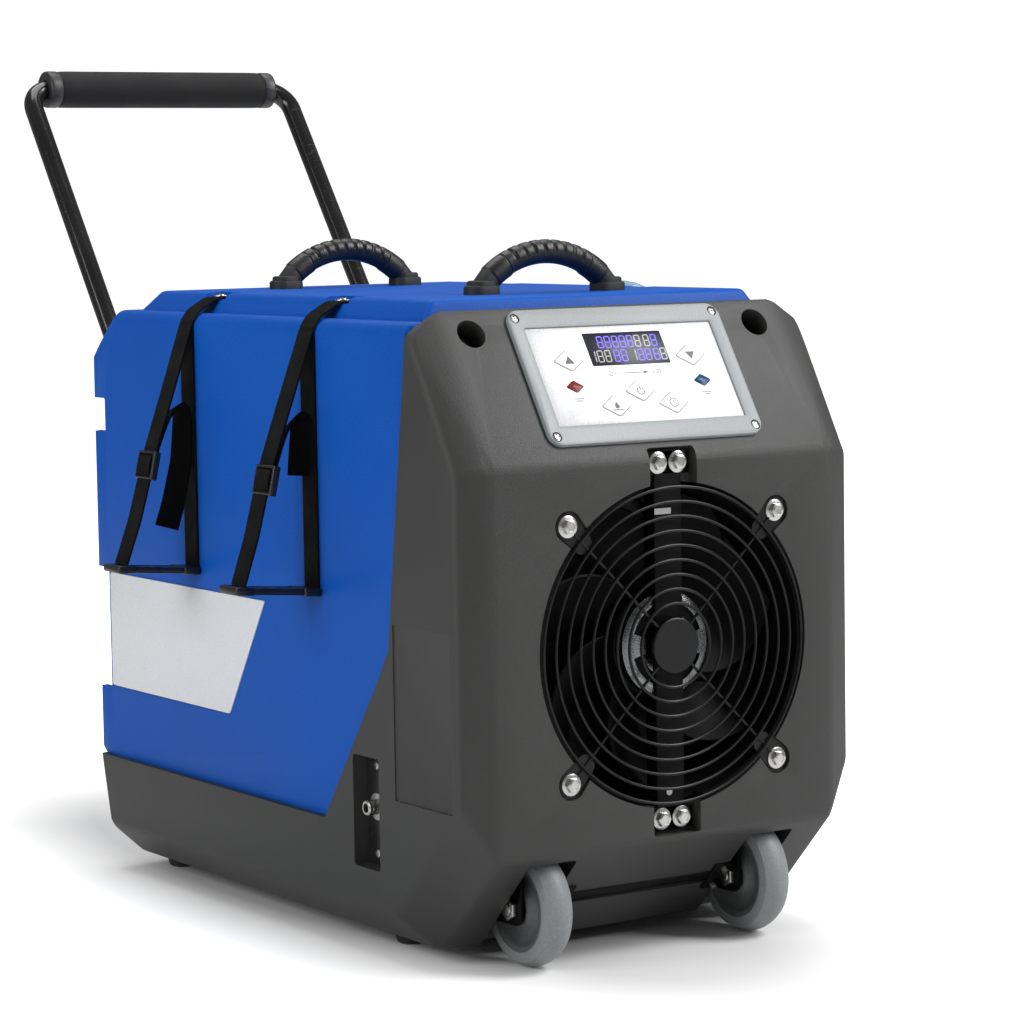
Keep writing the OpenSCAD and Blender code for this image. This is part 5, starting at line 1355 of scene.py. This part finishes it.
HELD = [(152, 547.2), (168, 547.2), (187, 536.2), (194.2, 526), (194.2, 303)]
NEAR = [(194.6, 524), (234, 414), (241, 390), (252, 350), (266, 311)]
FAR = [(194.6, 523), (231, 523), (236, 416), (241, 390), (252, 350), (266, 311)]
TAIL = [(234, 406), (222, 430), (212, 446), (202, 452), (199.5, 440), (201, 400), (209, 362), (216, 340)]
for name, run, turned in (("left", NEAR, MIRROR), ("right", FAR, None)):
    parts = []
    for n, y in enumerate(STRAP_Y):
        parts.append(band(eased(sampled(HELD, 12)), y))
        parts.append(band(sampled(eased(run)), y,
                          sway=lambda t, n=n: 2.0 * math.sin(math.pi * t) * (-1) ** n))
        if name == "left":
            reach = TAIL if n else TAIL[:-2]
            parts.append(band(sampled(eased(reach, 6)), y, width=22, thick=1.8,
                              sway=lambda t, n=n: (7 if n else 5) * t, turn=lambda t: -0.9 * t))
    whole = joined(*parts)
    piece("webbing_" + name, moved(whole, turned) if turned else whole, "case", webbing,
          ("straps_" + name,), 40)

buckle = block((-3.4, -16, -13), (3.4, 16, 13), 1.4, 3)
for z0, z1 in ((3, 10.5), (-10.5, -3)):
    buckle = carved(buckle, block((-9, -13, z0), (9, 13, z1), 0.8))
buckle = carved(buckle, block((1.4, -13, -10), (9, 13, 10), 0.5))
buckle = joined(buckle, moved(block((-1.2, -13.2, -2.2), (2.4, 13.2, 2.2), 1.0),
                              Matrix.Rotation(0.25, 4, "Y")))
cover = band(sampled([(3.2, -9), (4.1, -4), (4.3, 0), (4.1, 4), (3.2, 9)], 2), 0, 24, 1.6)


def at_straps(x, z, turn):
    """The four straps' places for something at (x, z) turned about Y, the left ones mirrored."""
    right = [Matrix.Translation((x, y, z)) @ Matrix.Rotation(turn, 4, "Y") for y in STRAP_Y]
    return right + [MIRROR @ m for m in right]


at_buckles = at_straps(237, 398.5, math.radians(-12.5))
piece("ladder_locks", copies(buckle, at_buckles), "case", bar_black, ("strap_buckles",))
piece("lock_loops", copies(cover, at_buckles), "case", webbing)

bar = block((0, -16, -7), (17, 16, 0), 1.8, 3)
for part in (block((64, -16, -7), (84, 16, 0), 2.4, 3), block((12, -13.5, -5.6), (70, 13.5, -1.4), 0.8),
             block((15, -13.4, -6.3), (67, -10.6, -0.8), 0.5), block((15, 10.6, -6.3), (67, 13.4, -0.8), 0.5),
             rod((41, 0, -6.1), (41, 0, -0.9), 9, 36, 0.6)):
    bar = carved(bar, part, "UNION")
for x0, x1 in ((0.5, 4), (69.5, 79.5)):
    bar = carved(bar, block((x0, -13, -20), (x1, 13, 20)))
at_bars = at_straps(193, 304, -math.atan2(7, 80))
piece("strap_bar_mouldings", copies(bar, at_bars), "case", bar_black, ("strap_bars",))

# --- Drain pocket -------------------------------------------------------------------------
# A black plate closes the side pocket and is held by two screws. The plated drain stub,
# with its barbs for a hose, stands out through it and carries a thin nut.
port_plate = block((-187, 137, 76), (-184, 177, 169), 0.5)
for z, radius, sides in [(PORT_Z, 8.5, 40)] + [(z, 2, 20) for z in PORT_SCREW_Z]:
    port_plate = carved(port_plate, rod((-195, PORT_Y, z), (-170, PORT_Y, z), radius, sides))
piece("pocket_plate", port_plate, "case", bar_black, ("port_plate",))
barbs = [(4, -13), (5.6, -13), (6.5, -12), (6.5, -10), (5.7, -9.2), (6.5, -7.4), (6.5, -6), (5.7, -5.2),
         (6.5, -3.4)]
collar_and_nut = [(6.5, -2), (11.5, -2), (11.5, 0), (6.5, 0), (6.5, 7), (10.5, 7), (10.5, 12), (6.5, 12),
                  (6.5, 23), (4, 23)]
stub = lathe(barbs + collar_and_nut, (-187, PORT_Y, PORT_Z), (1, 0, 0), 48)
piece("drain_stub", stub, "case", zinc, ("drain_port",))

# --- Rear: filter cassette and cable gland ------------------------------------------------
# The moulded cassette slides out backwards by two pull tabs; slats cross it behind a
# pleated mesh. The gland beside it is where the power cord comes in.
filter_black = finish_of("filter_black", (0.012, 0.012, 0.0125), (0.018, 0.018, 0.019), 16, 1200, 0.0003,
                         (0.4, 0.55), 0.05)
FILTER_Z0, FILTER_Z1 = 153.0, 480.0
SLATS, SLAT_PITCH, PLEATS = 12, 24.0, 64
rails = [block((-122, 626, FILTER_Z0), (-112, 646, FILTER_Z1), 1.2),
         block((112, 626, FILTER_Z0), (122, 646, FILTER_Z1), 1.2),
         block((-113, 626, FILTER_Z0), (113, 646, FILTER_Z0 + 10), 1.2),
         block((-113, 626, FILTER_Z1 - 10), (113, 646, FILTER_Z1), 1.2)]
slats = []
for i in range(SLATS):
    z = FILTER_Z0 + 30 + i * SLAT_PITCH
    slats.append(block((-113, 638, z), (113, 645, z + 5), 0.8))
pulls = [block((x - 5, 645, 300), (x + 5, 646.4, 333), 0.6) for x in (-117, 117)]
piece("filter_cassette", joined(*rails, *slats, *pulls), "filter", filter_black,
      ("filter_frame",))
media = finish_of("filter_media", (0.30, 0.33, 0.35), (0.40, 0.43, 0.45), 60, 1800, 0.0006, (0.8, 0.95), 0)
pleats = [(-112 + i * 224 / PLEATS, 628.0 if i % 2 else 636.0) for i in range(PLEATS + 1)]
fold = bmesh.new()
front = [[fold.verts.new((x, y, zz)) for x, y in pleats] for zz in (FILTER_Z0 + 10, FILTER_Z1 - 10)]
for i in range(PLEATS):
    fold.faces.new((front[0][i], front[0][i + 1], front[1][i + 1], front[1][i]))
bmesh.ops.recalc_face_normals(fold, faces=fold.faces[:])
bmesh.ops.solidify(fold, geom=fold.faces[:], thickness=0.6)
piece("pleated_media", fold, "filter", media, ("filter_mesh",))
gland = carved(rod((GLAND_X, REAR_WALL, GLAND_Z), (GLAND_X, 646, GLAND_Z), 13, 6, 0.8),
               rod((GLAND_X, 630, GLAND_Z), (GLAND_X, 660, GLAND_Z), 4.5, 32))
nut = lathe([(4.5, -12), (8, -12), (8, 6), (8, 9), (7.2, 13), (6, 14), (4.5, 14)],
            (GLAND_X, REAR_WALL, GLAND_Z), AHEAD, 40)
piece("gland_nut", joined(gland, nut), "case", bar_black, ("cable_gland",))

# --- Inside the case ----------------------------------------------------------------------
# Refrigeration parts, tray, tank, pump and float keep their own shapes; only their
# finishes are made here.
enamel_black = finish_of("enamel_black", (0.007, 0.007, 0.008), (0.011, 0.011, 0.012), 12, 800, 0.0002,
                         (0.2, 0.35), 0.1)
fin_metal = finish_of("fin_metal", (0.55, 0.57, 0.58), (0.66, 0.68, 0.69), 120, 900, 0.0002, (0.3, 0.5), 0.1,
                      Metallic=1.0)
coated_fin = finish_of("coated_fin", (0.38, 0.28, 0.13), (0.48, 0.36, 0.18), 120, 900, 0.0002, (0.35, 0.5),
                       0.1, Metallic=0.6)
copper_pipe = finish_of("copper_pipe", (0.55, 0.22, 0.11), (0.42, 0.15, 0.07), 30, 700, 0.0001, (0.25, 0.4),
                        0.1, Metallic=1.0)
tray_grey = finish_of("tray_grey", (0.02, 0.021, 0.023), (0.03, 0.031, 0.033), 10, 900, 0.0002, (0.45, 0.6),
                      0.05)
tank_clear = finish_of("tank_clear", (0.62, 0.68, 0.72), (0.68, 0.73, 0.77), 8, 700, 0.0001, (0.25, 0.35),
                       0.02, Transmission_Weight=0.3)
pump_grey = finish_of("pump_grey", (0.013, 0.013, 0.017), (0.02, 0.02, 0.025), 16, 900, 0.0002, (0.3, 0.45),
                      0.05)
float_orange = finish_of("float_orange", (0.75, 0.18, 0.02), (0.82, 0.22, 0.03), 14, 900, 0.0001,
                         (0.35, 0.45), 0.03)
for node, paint in (("compressor", enamel_black), ("compressor_grommets", rubber_black),
                    ("evaporator", fin_metal),
                    ("condenser", coated_fin), ("refrigerant_pipes", copper_pipe), ("drip_tray", tray_grey),
                    ("sump_tank", tank_clear), ("condensate_pump", pump_grey), ("pump_hose", hose_clear),
                    ("float_ball", float_orange)):
    carry(node, paint)
